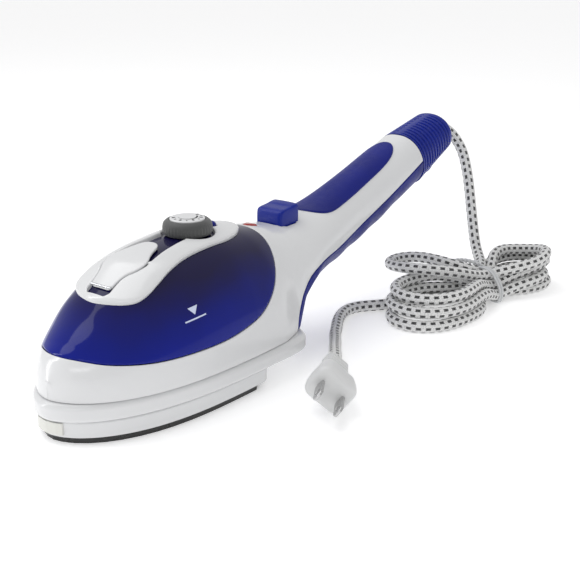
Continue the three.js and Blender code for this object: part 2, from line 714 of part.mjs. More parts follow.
function route(points) {
  return points.map(([x, y, z]) => new THREE.Vector3(x, y, z));
}

add('cord_drop', bar([exitPoint, ...route(DROP_ROUTE)], CORD_DIAMETER, 8, 14), braid);
add('cord_lead', bar(route(LEAD_ROUTE), CORD_DIAMETER, 8, 16), braid);

// The hank lies on the table; local +Y runs from its wide end to its narrow end.
const HANK_HALVES = [
  [0, 0], [1.5, 9], [5, 16.3], [12, 23.5], [22, 28.2], [33, 28.8], [46, 26], [60, 20], [73, 15],
  [84, 13.2], [96, 14.6], [108, 17.8], [120, 19.4], [131, 18.4], [139, 15], [144.5, 10],
  [147.5, 4], [148, 0],
];
const HANK_LOW = 0.2;
const HANK_HIGH = 26;
const HANK_TURN = THREE.MathUtils.degToRad(-11.5);
const TIE_STATION = 84; // along the hank
const TIE_WIDTH = 4;
const TIE_WALL = 1;
const TIE_GROOVE = TIE_WALL + 2 * GAP;

const hank = new THREE.Group();
hank.position.set(42.2, 228.6, 0);
hank.rotation.z = HANK_TURN;
frame.add(hank);

// A block across the hank at the tie, drawn in by a distance.
function tieBlock(width, inset) {
  const halfWidth = 13.2 - inset;
  return boxSolid(
    2 * halfWidth,
    width,
    HANK_HIGH - HANK_LOW - 2 * inset,
    0,
    TIE_STATION,
    (HANK_HIGH + HANK_LOW) / 2,
  );
}

const tieGroove = tieBlock(TIE_WIDTH + 2 * GAP, -6).subtract(tieBlock(TIE_WIDTH + 4, TIE_GROOVE));
add('cord_hank', geometryOf(planBlock(HANK_HALVES, HANK_LOW, HANK_HIGH).subtract(tieGroove)),
  braid, hank);
add('cord_tie', geometryOf(
  tieBlock(TIE_WIDTH, GAP).subtract(tieBlock(TIE_WIDTH + 4, GAP + TIE_WALL)),
), nylon, hank);

// ---- mains plug -----------------------------------------------------------------
// Local +Y runs out of the plug's face along its blades, rolled to rest on one edge.
const PLUG_WIDTH = 23; // along the line of the blades
const PLUG_HEIGHT = 19;
const PLUG_CORNER = 5;
const PLUG_BODY = 20;
const COLLAR_LENGTH = 17;
const BLADE_SPACING = 12.7;
const BLADE_WIDTH = 6.35;
const BLADE_THICKNESS = 1.5;
const BLADE_LENGTH = 16.5;
const PLUG_HEADING = THREE.MathUtils.degToRad(-148);
const PLUG_ROLL = THREE.MathUtils.degToRad(-40);

const plug = new THREE.Group();
plug.position.set(87.8, 106.1, 13.2);
plug.rotation.order = 'ZXY';
plug.rotation.set(0, PLUG_ROLL, PLUG_HEADING);
frame.add(plug);

// A rounded rectangle across the plug, drawn in by a distance, at a place along its axis.
function plugRing(inset, along, steps = 3) {
  const corner = Math.max(PLUG_CORNER - inset / 2, 1.5);
  const halfWidth = PLUG_WIDTH / 2 - inset - corner;
  const halfHeight = PLUG_HEIGHT / 2 - inset - corner;
  const points = [];
  for (const [sx, sz, turn] of [[1, 1, 0], [-1, 1, 1], [-1, -1, 2], [1, -1, 3]]) {
    for (let i = 0; i <= steps; i += 1) {
      const angle = ((turn + i / steps) * Math.PI) / 2;
      points.push(new THREE.Vector3(
        sx * halfWidth + corner * Math.cos(angle),
        along,
        sz * halfHeight + corner * Math.sin(angle),
      ));
    }
  }
  return points;
}

add('plug_body', geometryOf(loft([
  plugRing(3.4, -PLUG_BODY), plugRing(1.2, -PLUG_BODY + 5), plugRing(0.2, -7), plugRing(0, -5),
  plugRing(0, -1.2), plugRing(1, 0),
])), white, plug);
add('plug_collar', geometryOf(loft([
  plugRing(5.2, -PLUG_BODY - COLLAR_LENGTH), plugRing(4.8, -PLUG_BODY - 10),
  plugRing(4.4, -PLUG_BODY - GAP),
])), white, plug);
for (const [name, side] of [['plug_blade_left', -1], ['plug_blade_right', 1]]) {
  add(name, new THREE.BoxGeometry(BLADE_THICKNESS, BLADE_LENGTH, BLADE_WIDTH)
    .translate((side * BLADE_SPACING) / 2, BLADE_LENGTH / 2 + GAP, 0), steel, plug);
}

export default model;
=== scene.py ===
"""Looks for a hand-held garment steamer with a water tank, a dial and a tied mains cord.

The shells are rebuilt as fine surfaces from the body's own section curves, then cut along
their seams. Lengths in the shape functions are millimetres, with stations measured from the
nose; they become metres in the model's frame when a mesh is made.
"""
import math

import bpy
import numpy as np
from mathutils import Matrix, Vector


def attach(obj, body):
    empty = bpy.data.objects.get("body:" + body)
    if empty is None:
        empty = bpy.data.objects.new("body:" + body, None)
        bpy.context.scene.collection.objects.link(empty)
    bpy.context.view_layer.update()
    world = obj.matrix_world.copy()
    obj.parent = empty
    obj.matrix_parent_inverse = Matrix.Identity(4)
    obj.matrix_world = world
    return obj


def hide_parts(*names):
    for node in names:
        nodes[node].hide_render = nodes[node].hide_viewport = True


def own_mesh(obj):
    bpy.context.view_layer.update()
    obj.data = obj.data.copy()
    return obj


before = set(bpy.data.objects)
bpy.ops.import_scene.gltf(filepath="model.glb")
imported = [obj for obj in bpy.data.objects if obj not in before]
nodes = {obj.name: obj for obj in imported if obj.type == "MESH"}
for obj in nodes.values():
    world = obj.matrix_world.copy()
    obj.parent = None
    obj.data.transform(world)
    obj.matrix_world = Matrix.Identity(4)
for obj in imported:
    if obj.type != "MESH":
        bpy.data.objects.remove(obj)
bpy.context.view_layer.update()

# ---- sizes, the same as the CAD part's ------------------------------------------------
LENGTH = 347.0
BASE_LENGTH = 159.0
BASE_WIDTH = 86.8
BASE_WIDEST = 120.0
GAP = 0.3
FLANGE_TOP = 21.0
SKIRT_TOP = 12.0
SOLEPLATE_TOP = 3.0
HEEL_OF_SOLE = 121.0
SKIRT_INSET = 2.3
SOLE_INSET = 4.8
NOSE_POWER = 3.0
SIDE_POWER = 1.8
HEEL_POWER = 6.0
HEEL_SIDE_POWER = 2.4
BODY_NOSE = 4.0
DIAL_STATION = 101.0
DIAL_RADIUS = 13.0
POINTER_STATION = 118.4
BUTTON_STATION = 175.0
HINGE_STATION = 40.0
HANDLE_SLOPE = math.radians(18)
JOINT_STATION = 303.0
JOINT_HEIGHT = 85.0
CAP_LENGTH = 41.0
CORD_DIAMETER = 7.0
CORD_REST = CORD_DIAMETER / 2 + 0.2
SKIN_HEIGHT = 2.4
LENS_STATION = 151.0


# ---- curves and the body's section ----------------------------------------------------
def curve_through(points):
    """A piecewise cubic through the points, without overshoot, for arrays of any shape."""
    xs = np.array([p[0] for p in points], float)
    ys = np.array([p[1] for p in points], float)
    slope = np.diff(ys) / np.diff(xs)
    tangent = np.empty(len(xs))
    tangent[0] = slope[0]
    tangent[-1] = slope[-1]
    for i in range(1, len(xs) - 1):
        a, b = slope[i - 1], slope[i]
        tangent[i] = 0.0 if a * b <= 0 else 2 * a * b / (a + b)

    def value(x):
        at = np.clip(x, xs[0], xs[-1])
        i = np.clip(np.searchsorted(xs, at, side="left") - 1, 0, len(xs) - 2)
        h = xs[i + 1] - xs[i]
        t = (at - xs[i]) / h
        first = (2 * t**3 - 3 * t**2 + 1) * ys[i] + (t**3 - 2 * t**2 + t) * h * tangent[i]
        second = (3 * t**2 - 2 * t**3) * ys[i + 1] + (t**3 - t**2) * h * tangent[i + 1]
        return first + second

    return value


def smoothstep(x, low, high):
    t = np.clip((np.asarray(x, float) - low) / (high - low), 0, 1)
    return t * t * (3 - 2 * t)


top_line = curve_through([
    (4, 30), (8, 39.5), (16, 46), (26, 53.5), (38, 64), (56, 74.2), (74, 78), (101, 80),
    (127, 77.6), (150, 74), (169, 71.2), (196, 72.6), (242, 84.5), (286, 98), (320, 109.6),
])
under_line = curve_through([
    (150, FLANGE_TOP), (155, 27), (161, 32.5), (182, 33.5), (207, 36), (234, 41.5),
    (257, 49), (290, 62.5), (320, 74),
])
half_width_line = curve_through([
    (109, 42.3), (128, 41.6), (147, 36.5), (162, 31.6), (177, 27.6), (196, 23),
    (242, 16.6), (302, 17.3), (320, 17.3),
])


def body_half_width(station):
    nose = np.clip(1 - (station - BODY_NOSE + 0.6) / (109 - BODY_NOSE), 0, 1)
    front = 42.3 * (1 - nose**NOSE_POWER) ** (1 / SIDE_POWER)
    return np.where(station > 109, half_width_line(station), front)


def body_point(station, angle, offset=0.0):
    """Points of the body's surface moved out by offset, for arrays of station and angle."""
    blend = smoothstep(station, 142, 202)
    top = top_line(station)
    under = under_line(station)
    middle = under + blend * (top - under) / 2
    width = np.maximum(body_half_width(station) + offset, 0.04)
    rise = top - middle + offset
    drop = middle - under + offset * np.minimum(blend * 4, 1)
    full = smoothstep(station, 10, 60)
    squareness = 2.2 + 0.2 * full
    crown = 3.0 - full
    c = np.cos(angle)
    s = np.sin(angle)
    x = width * np.sign(c) * np.abs(c) ** (2 / squareness)
    height = np.sign(s) * np.abs(s) ** (2 / crown)
    z = middle + height * np.where(s > 0, rise, drop)
    return np.stack([x, station + 0 * x, z], axis=-1)


# ---- meshes ---------------------------------------------------------------------------
def make_mesh(name, points, faces, smooth_below=35, material=None, uv=None):
    """A mesh object from points in millimetres with stations for y."""
    placed = np.asarray(points, float).copy()
    placed[:, 1] -= LENGTH / 2
    placed /= 1000.0
    mesh = bpy.data.meshes.new(name)
    mesh.from_pydata(placed.tolist(), [], [list(map(int, f)) for f in faces])
    mesh.validate()
    for polygon in mesh.polygons:
        polygon.use_smooth = True
    if uv is not None:
        layer = mesh.uv_layers.new(name="UVMap")
        corners = np.empty(len(mesh.loops), np.int64)
        mesh.loops.foreach_get("vertex_index", corners)
        layer.data.foreach_set("uv", np.asarray(uv, float)[corners].ravel())
    mesh.set_sharp_from_angle(angle=math.radians(smooth_below))
    piece = bpy.data.objects.new(name, mesh)
    bpy.context.scene.collection.objects.link(piece)
    if material is not None:
        mesh.materials.append(material)
    return piece


def grid_faces(rows, columns, closed):
    """Triangles of a grid of rows by columns, closed round its columns or open."""
    span = columns if closed else columns - 1
    r, c = np.meshgrid(np.arange(rows - 1), np.arange(span), indexing="ij")
    a = (r * columns + c).ravel()
    b = (r * columns + (c + 1) % columns).ravel()
    return np.concatenate([
        np.stack([a, b, a + columns], -1),
        np.stack([b, b + columns, a + columns], -1),
    ])


def split_at(params, faces, value, level):
    """Splits triangles where value(params) crosses level, so that an edge row runs along it."""
    field = value(params) - level
    side = field > 0
    corner = side[faces]
    mixed = corner.any(1) & ~corner.all(1)
    kept = faces[~mixed]
    cut = faces[mixed]
    if len(cut) == 0:
        return params, faces
    flags = side[cut]
    lonely = flags.sum(1) == 1
    alone = np.where(lonely[:, None], flags, ~flags).argmax(1)
    order = (alone[:, None] + np.arange(3)) % 3
    cut = np.take_along_axis(cut, order, 1)
    p, q, r = cut.T
    edges = np.sort(np.concatenate([np.stack([p, q], 1), np.stack([p, r], 1)]), 1)
    unique, back = np.unique(edges, axis=0, return_inverse=True)
    back = back.ravel()
    low, high = params[unique[:, 0]], params[unique[:, 1]]
    f_low, f_high = field[unique[:, 0]], field[unique[:, 1]]
    t_low, t_high = np.zeros(len(unique)), np.ones(len(unique))
    for _ in range(12):
        t = t_low + (t_high - t_low) * np.clip(f_low / (f_low - f_high), 0.05, 0.95)
        middle = low + (high - low) * t[:, None]
        f = value(middle) - level
        same = (f > 0) == (f_low > 0)
        t_low, f_low = np.where(same, t, t_low), np.where(same, f, f_low)
        t_high, f_high = np.where(same, t_high, t), np.where(same, f_high, f)
    first = len(params)
    params = np.concatenate([params, middle])
    pq = first + back[: len(cut)]
    pr = first + back[len(cut):]
    pieces = [
        kept, np.stack([p, pq, pr], 1), np.stack([pq, q, r], 1), np.stack([pq, r, pr], 1),
    ]
    return params, np.concatenate(pieces)


def keep_inside(params, faces, value):
    """Drops the triangles outside value > 0 and the points that nothing uses."""
    centre = value(params[faces].mean(1))
    faces = faces[centre > 0]
    used, faces = np.unique(faces, return_inverse=True)
    return params[used], faces.reshape(-1, 3)


def edge_loops(faces):
    """The open edges of a mesh as point pairs, in the direction their triangles use."""
    sides = np.concatenate([faces[:, [0, 1]], faces[:, [1, 2]], faces[:, [2, 0]]])
    key = np.sort(sides, 1)
    _, index, count = np.unique(key, axis=0, return_index=True, return_counts=True)
    return sides[index[count == 1]]


ROLL_ROWS = (0.0, 0.08, 0.22, 0.42, 0.7, 1.0)


def shell(name, value, rows, columns, low, high, material, offset=0.0, roll=0.7, depth=2.0,
          clearance=0.2, relief=None, extra=0.0):
    """A moulded shell on the body's form where value > 0, with rolled edges and a lip.

    value takes stations and angles; its level is about the distance to the seam in mm."""
    stations = low + (high - low) * np.linspace(0, 1, rows) ** (1.7 if low < BODY_NOSE else 1)
    angles = np.linspace(-math.pi / 2, 1.5 * math.pi, columns)
    s, a = np.meshgrid(stations, angles, indexing="ij")
    params = np.stack([s.ravel(), a.ravel()], -1)
    faces = grid_faces(rows, columns, False)

    def seam(p):
        return value(p[:, 0], p[:, 1]) - clearance

    wide = seam(params)[faces]
    faces = faces[(wide > -6).any(1)]
    for share in ROLL_ROWS:
        params, faces = split_at(params, faces, seam, share * roll)
    params, faces = keep_inside(params, faces, seam)
    near = np.clip(1 - seam(params) / roll, 0, 1)
    sink = roll * (1 - np.sqrt(np.maximum(1 - near**2, 0)))
    lift = offset - sink
    if relief is not None:
        lift = lift + relief(params[:, 0], params[:, 1])
    points = body_point(params[:, 0], params[:, 1], lift)
    edges = edge_loops(faces)
    rim = np.unique(edges)
    inner = body_point(params[rim, 0], params[rim, 1], offset - depth - extra)
    place = np.full(len(points), -1)
    place[rim] = len(points) + np.arange(len(rim))
    p, q = edges.T
    skirt = np.concatenate([
        np.stack([q, p, place[p]], 1), np.stack([q, place[p], place[q]], 1),
    ])
    points = np.concatenate([points, inner])
    return make_mesh(name, points, np.concatenate([faces, skirt]), 50, material)


def outline_distance(points, x, y):
    """Signed distance to a closed polygon in plan, positive inside."""
    polygon = np.asarray(points, float)
    best = np.full(np.shape(x), 1e9)
    inside = np.zeros(np.shape(x), bool)
    for i in range(len(polygon)):
        ax, ay = polygon[i - 1]
        bx, by = polygon[i]
        dx, dy = bx - ax, by - ay
        t = np.clip(((x - ax) * dx + (y - ay) * dy) / (dx * dx + dy * dy), 0, 1)
        best = np.minimum(best, np.hypot(x - ax - t * dx, y - ay - t * dy))
        crosses = (ay > y) != (by > y)
        with np.errstate(divide="ignore", invalid="ignore"):
            inside ^= crosses & (x < ax + (y - ay) * dx / (by - ay))
    return np.where(inside, best, -best)


def rounded(points, passes=3):
    """A closed outline with its corners cut smooth."""
    line = np.asarray(points, float)
    for _ in range(passes):
        after = np.roll(line, -1, axis=0)
        line = np.stack([0.75 * line + 0.25 * after, 0.25 * line + 0.75 * after], 1)
        line = line.reshape(-1, 2)
    return line


def mirrored(halves):
    """A closed plan outline from [station, half width] on one side."""
    right = [(w, s) for s, w in halves]
    left = [(-w, s) for s, w in reversed(halves) if w > 0]
    return right + left


def plan_value(outline, top_only=True):
    """Distance inside a plan outline, for the upper half of the body."""
    def value(station, angle):
        p = body_point(station, angle)
        d = outline_distance(outline, p[:, 0], p[:, 1])
        return np.where(np.sin(angle) > 0, d, -np.abs(d) - 5) if top_only else d
    return value


def side_value(outline):
    """Distance inside a side outline of (station, height)."""
    def value(station, angle):
        p = body_point(station, angle)
        return outline_distance(outline, p[:, 1], p[:, 2])
    return value


# ---- material helpers -----------------------------------------------------------------
def new_material(name, colour, roughness, **settings):
    """A Principled material, its shader and its node tree."""
    material = bpy.data.materials.new(name)
    material.use_nodes = True
    tree = material.node_tree
    shader = tree.nodes["Principled BSDF"]
    shader.inputs["Base Color"].default_value = (*colour, 1)
    shader.inputs["Roughness"].default_value = roughness
    for key, value in settings.items():
        shader.inputs[key.replace("_", " ")].default_value = value
    return material, shader, tree


def texture(tree, kind, scale, coordinate="Object", **settings):
    """A texture node reading the object's own coordinates."""
    source = tree.nodes.new("ShaderNodeTexCoord")
    node = tree.nodes.new(kind)
    node.inputs["Scale"].default_value = scale
    for key, value in settings.items():
        node.inputs[key.replace("_", " ")].default_value = value
    tree.links.new(source.outputs[coordinate], node.inputs["Vector"])
    return node


def ramp(tree, source, stops):
    """A colour ramp of (position, grey or colour) stops."""
    node = tree.nodes.new("ShaderNodeValToRGB")
    elements = node.color_ramp.elements
    while len(elements) < len(stops):
        elements.new(0.5)
    for element, (position, colour) in zip(elements, stops):
        element.position = position
        if isinstance(colour, (int, float)):
            colour = (colour, colour, colour)
        element.color = (*colour, 1)
    tree.links.new(source, node.inputs["Fac"])
    return node.outputs["Color"]


def bump(tree, shader, height, strength, distance=0.001):
    """Adds a bump to a shader, on top of any bump it already has."""
    node = tree.nodes.new("ShaderNodeBump")
    node.inputs["Strength"].default_value = strength
    node.inputs["Distance"].default_value = distance
    tree.links.new(height, node.inputs["Height"])
    socket = shader.inputs["Normal"]
    if socket.is_linked:
        tree.links.new(socket.links[0].from_socket, node.inputs["Normal"])
    tree.links.new(node.outputs["Normal"], socket)


def moulded(name, colour, roughness, grain=0.0, grain_scale=900, shade=0.04, **settings):
    """Moulded plastic: a faint drift in colour and polish, and a fine grain where it has one."""
    material, shader, tree = new_material(name, colour, roughness, **settings)
    cloud = texture(tree, "ShaderNodeTexNoise", 22, Detail=3.0)
    darker = tuple(c * (1 - shade) for c in colour)
    tree.links.new(
        ramp(tree, cloud.outputs["Fac"], [(0.35, darker), (0.65, colour)]),
        shader.inputs["Base Color"],
    )
    fine = texture(tree, "ShaderNodeTexNoise", 260, Detail=2.0)
    tree.links.new(
        ramp(tree, fine.outputs["Fac"], [(0.3, max(roughness - 0.04, 0.02)),
                                         (0.7, roughness + 0.05)]),
        shader.inputs["Roughness"],
    )
    if grain:
        pores = texture(tree, "ShaderNodeTexVoronoi", grain_scale)
        bump(tree, shader, pores.outputs["Distance"], grain, 0.0002)
    ripple = texture(tree, "ShaderNodeTexNoise", 60, Detail=1.0)
    bump(tree, shader, ripple.outputs["Fac"], 0.03, 0.0006)
    return material


# ---- camera ---------------------------------------------------------------------------
camera_data = bpy.data.cameras.new("camera")
camera_data.sensor_width = 36.0
camera_data.lens = 69.33
camera_data.clip_start = 0.01
camera = bpy.data.objects.new("camera", camera_data)
bpy.context.scene.collection.objects.link(camera)
camera.location = (0.3821, -0.4762, 0.2352)
AZIMUTH = math.radians(38)
ELEVATION = math.radians(18.6)
camera.rotation_euler = (math.pi / 2 - ELEVATION, 0, AZIMUTH)
bpy.context.scene.camera = camera


# ---- cord route -----------------------------------------------------------------------
GLAND_PROUD = 1.2
EXIT_ALONG = CAP_LENGTH + GLAND_PROUD + GAP
exit_point = (
    0.0,
    JOINT_STATION + EXIT_ALONG * math.cos(HANDLE_SLOPE),
    JOINT_HEIGHT + EXIT_ALONG * math.sin(HANDLE_SLOPE),
)
DROP_ROUTE = [
    (0.5, 348.7, 98.9), (1.8, 355, 97.3), (4.2, 360, 93.4), (7.4, 363, 87.7),
    (10.6, 363.6, 82.3), (14.4, 361.6, 76), (20.4, 356.4, 65.8), (25.4, 351.2, 55.6),
    (30, 346.2, 45.8), (34.2, 341.9, 36.4), (38.2, 338.3, 27.4), (42.8, 335.2, 18.6),
]
LEAD_ROUTE = [
    (19.8, 246.8, CORD_REST), (15.4, 243.7, CORD_REST), (12, 239.4, CORD_REST),
    (10.3, 234, CORD_REST), (10.4, 228.2, CORD_REST), (12.9, 219.8, CORD_REST),
    (17.4, 210.6, CORD_REST), (23.6, 200.8, CORD_REST), (30, 190.4, CORD_REST + 0.2),
    (38.4, 179, CORD_REST + 1.4), (47.8, 165.4, CORD_REST + 4.4), (57.6, 152, CORD_REST + 7.6),
    (67.6, 138.3, 13),
]
HANK_PLACE = (42.2, 228.6)
HANK_TURN = math.radians(-11.5)
TIE_STATION = 84.0


def from_hank(x, y, z):
    """A point of the hank's own frame, local y running from its wide to its narrow end."""
    c, s = math.cos(HANK_TURN), math.sin(HANK_TURN)
    return (HANK_PLACE[0] + x * c - y * s, HANK_PLACE[1] + x * s + y * c, z)


# Strands of the tied waist, as (x, height): five run down towards the wide end, four run up.
DOWN_SLOTS = [(-3.5, 16.2), (0.0, 10.0), (-7.0, 10.0), (-3.5, 3.7), (-10.5, 3.7)]
UP_SLOTS = [(3.5, 16.2), (7.0, 10.0), (10.5, 3.7), (3.5, 3.7)]
# Loops of the narrow end, top one first: (shift, half width, tip, height).
NARROW_LOOPS = [
    (1.5, 15.4, 139.0, 21.6), (-1.5, 15.0, 144.0, 15.6), (2.0, 15.2, 137.5, 9.8),
    (-1.5, 15.6, 144.3, 3.7),
]
# Loops of the wide end below the loose one, top one first.
WIDE_LOOPS = [(1.0, 20.5, 12.0, 17.6), (3.0, 22.0, 7.0, 10.8), (5.5, 20.0, 3.8, 3.7)]
# The loose loop that stands out over the side of the hank.
LOOSE_LOOP = [
    (-5.2, 75.5, 18.6), (-9.6, 69, 21.2), (-17.5, 65.6, 23.4), (-29, 65.2, 24), (-38.2, 62.8, 23.6),
    (-44.2, 56.6, 22.8), (-45.4, 48.6, 22.5), (-42, 41.2, 22.8), (-34.6, 36.6, 23.6),
    (-24, 36, 25), (-12, 39.4, 26), (-2, 47.4, 25.6), (4, 59, 23), (5, 71, 19.5),
]


def narrow_loop(up, down, loop):
    shift, half, tip, z = loop
    side = [
        (0.62, 97, 0.6), (0.93, 108, 0.95), (1.0, 119, 1.0), (0.97, tip - 0.95 * half, 1.0),
        (0.72, tip - 0.31 * half, 1.0),
    ]
    points = [(up[0], TIE_STATION, up[1])]
    points += [(shift + half * f, y, up[1] + (z - up[1]) * g) for f, y, g in side]
    points.append((shift, tip, z))
    points += [(shift - half * f, y, down[1] + (z - down[1]) * g) for f, y, g in reversed(side)]
    return points


def wide_loop(down, up, loop):
    shift, half, tip, z = loop
    side = [
        (0.5, 70, 0.6), (0.78, 57, 0.95), (0.97, 42, 1.0), (1.0, tip + 1.1 * half, 1.0),
        (0.72, tip + 0.31 * half, 1.0),
    ]
    points = [(down[0], TIE_STATION, down[1])]
    points += [(shift - half * f, y, down[1] + (z - down[1]) * g) for f, y, g in side]
    points.append((shift, tip, z))
    points += [(shift + half * f, y, up[1] + (z - up[1]) * g) for f, y, g in reversed(side)]
    return points


def hank_route():
    points = [(-13.5, 101, 18.4), (-6.5, 93, 17.2), (DOWN_SLOTS[0][0], TIE_STATION, DOWN_SLOTS[0][1])]
    points += LOOSE_LOOP
    for i in range(3):
        points += narrow_loop(UP_SLOTS[i], DOWN_SLOTS[i + 1], NARROW_LOOPS[i])
        points += wide_loop(DOWN_SLOTS[i + 1], UP_SLOTS[i + 1], WIDE_LOOPS[i])
    points += narrow_loop(UP_SLOTS[3], DOWN_SLOTS[4], NARROW_LOOPS[3])
    points += [(DOWN_SLOTS[4][0], TIE_STATION, DOWN_SLOTS[4][1]), (-15, 66, 3.7), (-19.5, 48, 3.7),
               (-21.5, 34, 3.7), (-23, 23, 3.7)]
    return [from_hank(*p) for p in points]


def evenly(points, step):
    """Points a step apart along a smooth curve through the given points."""
    p = np.asarray(points, float)
    p = np.concatenate([2 * p[:1] - p[1:2], p, 2 * p[-1:] - p[-2:-1]])
    fine = []
    for i in range(1, len(p) - 2):
        a, b, c, d = p[i - 1: i + 3]
        ta = np.linalg.norm(b - a) ** 0.5
        tb = np.linalg.norm(c - b) ** 0.5
        tc = np.linalg.norm(d - c) ** 0.5
        m1 = (c - b) + tb * ((b - a) / ta - (c - a) / (ta + tb))
        m2 = (c - b) + tb * ((d - c) / tc - (d - b) / (tb + tc))
        t = np.linspace(0, 1, 24, endpoint=False)[:, None]
        fine.append(b + m1 * t + (3 * (c - b) - 2 * m1 - m2) * t**2
                    + (m1 + m2 - 2 * (c - b)) * t**3)
    fine.append(p[-2:-1])
    fine = np.concatenate(fine)
    along = np.concatenate([[0], np.cumsum(np.linalg.norm(np.diff(fine, axis=0), axis=1))])
    at = np.linspace(0, along[-1], max(int(round(along[-1] / step)), 2) + 1)
    return np.stack([np.interp(at, along, fine[:, k]) for k in range(3)], -1)


FOLD_RADIUS = 17  # the cord opens wherever it would bend tighter
FOLD_SPAN = 3  # over this many points each way


def settle(points, free, rounds=420):
    """Lets a cord's strands push each other apart, keeping it smooth and off the table."""
    p = points.copy()
    n = len(p)
    index = np.arange(n)
    apart = np.abs(index[:, None] - index[None, :]) > 6
    step = np.linalg.norm(np.diff(p, axis=0), axis=1).mean()
    most = (FOLD_SPAN * step) ** 2 / (2 * FOLD_RADIUS)
    for _ in range(rounds):
        smooth = np.zeros_like(p)
        smooth[1:-1] = (p[:-2] + p[2:]) / 2 - p[1:-1]
        bend = np.zeros_like(p)
        bend[2:-2] = -(smooth[1:-3] + smooth[3:-1] - 2 * smooth[2:-2]) / 4
        reach = FOLD_SPAN
        sag = (p[:-2 * reach] + p[2 * reach:]) / 2 - p[reach:-reach]
        deep = np.linalg.norm(sag, axis=1) + 1e-9
        over = np.maximum(deep - most, 0) / deep
        open_up = np.zeros_like(p)
        open_up[reach:-reach] += sag * over[:, None]
        open_up[:-2 * reach] -= sag * over[:, None] / 2
        open_up[2 * reach:] -= sag * over[:, None] / 2
        gap = p[:, None, :] - p[None, :, :]
        distance = np.sqrt((gap**2).sum(-1)) + 1e-6
        short = np.where(apart, np.maximum(CORD_DIAMETER + 0.15 - distance, 0), 0)
        push = (gap / distance[..., None] * short[..., None]).sum(1)
        push *= 0.32
        p = p + free[:, None] * (0.5 * bend + push + 0.6 * open_up)
        p[:, 2] = np.maximum(p[:, 2], CORD_REST)
    return p


drop_points = evenly([exit_point, *DROP_ROUTE], 3.0)
lead_points = evenly(LEAD_ROUTE, 3.0)
whole = evenly([exit_point, *DROP_ROUTE, *hank_route(), *LEAD_ROUTE], 3.0)
drop_count = len(drop_points) - 3
lead_count = len(lead_points) - 3
free = np.ones(len(whole))
free[:drop_count] = 0
free[len(whole) - lead_count:] = 0
across_x = -(whole[:, 0] - HANK_PLACE[0]) * math.sin(HANK_TURN)
along_hank = across_x + (whole[:, 1] - HANK_PLACE[1]) * math.cos(HANK_TURN)
free *= np.clip(np.abs(along_hank - TIE_STATION) / 12 - 0.2, 0.3, 1)
cord_line = settle(whole, free)
cord_line = evenly(cord_line[::2], 1.6)


def tube(name, line, radius, sides, material):
    """A round tube with open ends along a line, its length in cm and its turn as UVs."""
    line = np.asarray(line, float)
    along = np.concatenate([[0], np.cumsum(np.linalg.norm(np.diff(line, axis=0), axis=1))])
    tangent = np.gradient(line, axis=0)
    tangent /= np.linalg.norm(tangent, axis=1)[:, None]
    normal = np.cross(tangent[0], (0.3, 0.2, 1.0))
    normals = []
    for t in tangent:
        normal = normal - t * normal.dot(t)
        normal /= np.linalg.norm(normal)
        normals.append(normal.copy())
    normals = np.array(normals)
    across = np.cross(tangent, normals)
    angle = np.linspace(0, 2 * math.pi, sides + 1)
    ring = (normals[:, None, :] * np.cos(angle)[None, :, None]
            + across[:, None, :] * np.sin(angle)[None, :, None])
    points = (line[:, None, :] + ring * radius).reshape(-1, 3)
    uv = np.stack([
        np.repeat(along, sides + 1) / 10.0, np.tile(angle / (2 * math.pi), len(line)),
    ], -1)
    faces = grid_faces(len(line), sides + 1, False)
    return make_mesh(name, points, faces, 80, material, uv)


# ---- materials ------------------------------------------------------------------------
WHITE = (0.70, 0.705, 0.715)
white = moulded("white_plastic", WHITE, 0.2, shade=0.015, Coat_Weight=0.2, Coat_Roughness=0.08)
white_satin = moulded("plug_plastic", (0.68, 0.685, 0.685), 0.34, grain=0.12, grain_scale=1400,
                      shade=0.02)
blue_gloss = moulded("blue_plastic", (0.001, 0.014, 0.26), 0.24, shade=0.15, Coat_Weight=0.06,
                     Coat_Roughness=0.1, Specular_IOR_Level=0.2)
blue_soft = moulded("blue_soft_touch", (0.002, 0.008, 0.2), 0.4, grain=0.25, grain_scale=1900,
                    shade=0.25, Specular_IOR_Level=0.22)
grey_soft = moulded("grey_soft_touch", (0.058, 0.06, 0.06), 0.55, grain=0.4,
                    grain_scale=1700, shade=0.12, Sheen_Weight=0.2, Sheen_Roughness=0.5)
mark_black = moulded("mark_ink", (0.02, 0.02, 0.022), 0.5)
mark_pale = moulded("level_ink", (0.62, 0.68, 0.86), 0.45)
red_lens = moulded("red_lens", (0.42, 0.012, 0.008), 0.12, shade=0.2, Coat_Weight=0.8)
rubber = moulded("dark_rubber", (0.012, 0.016, 0.05), 0.6, grain=0.3)
nylon = moulded("pale_nylon", (0.7, 0.7, 0.66), 0.4, grain=0.1)
tie_plastic = moulded("tie_plastic", (0.6, 0.61, 0.62), 0.35, shade=0.08)


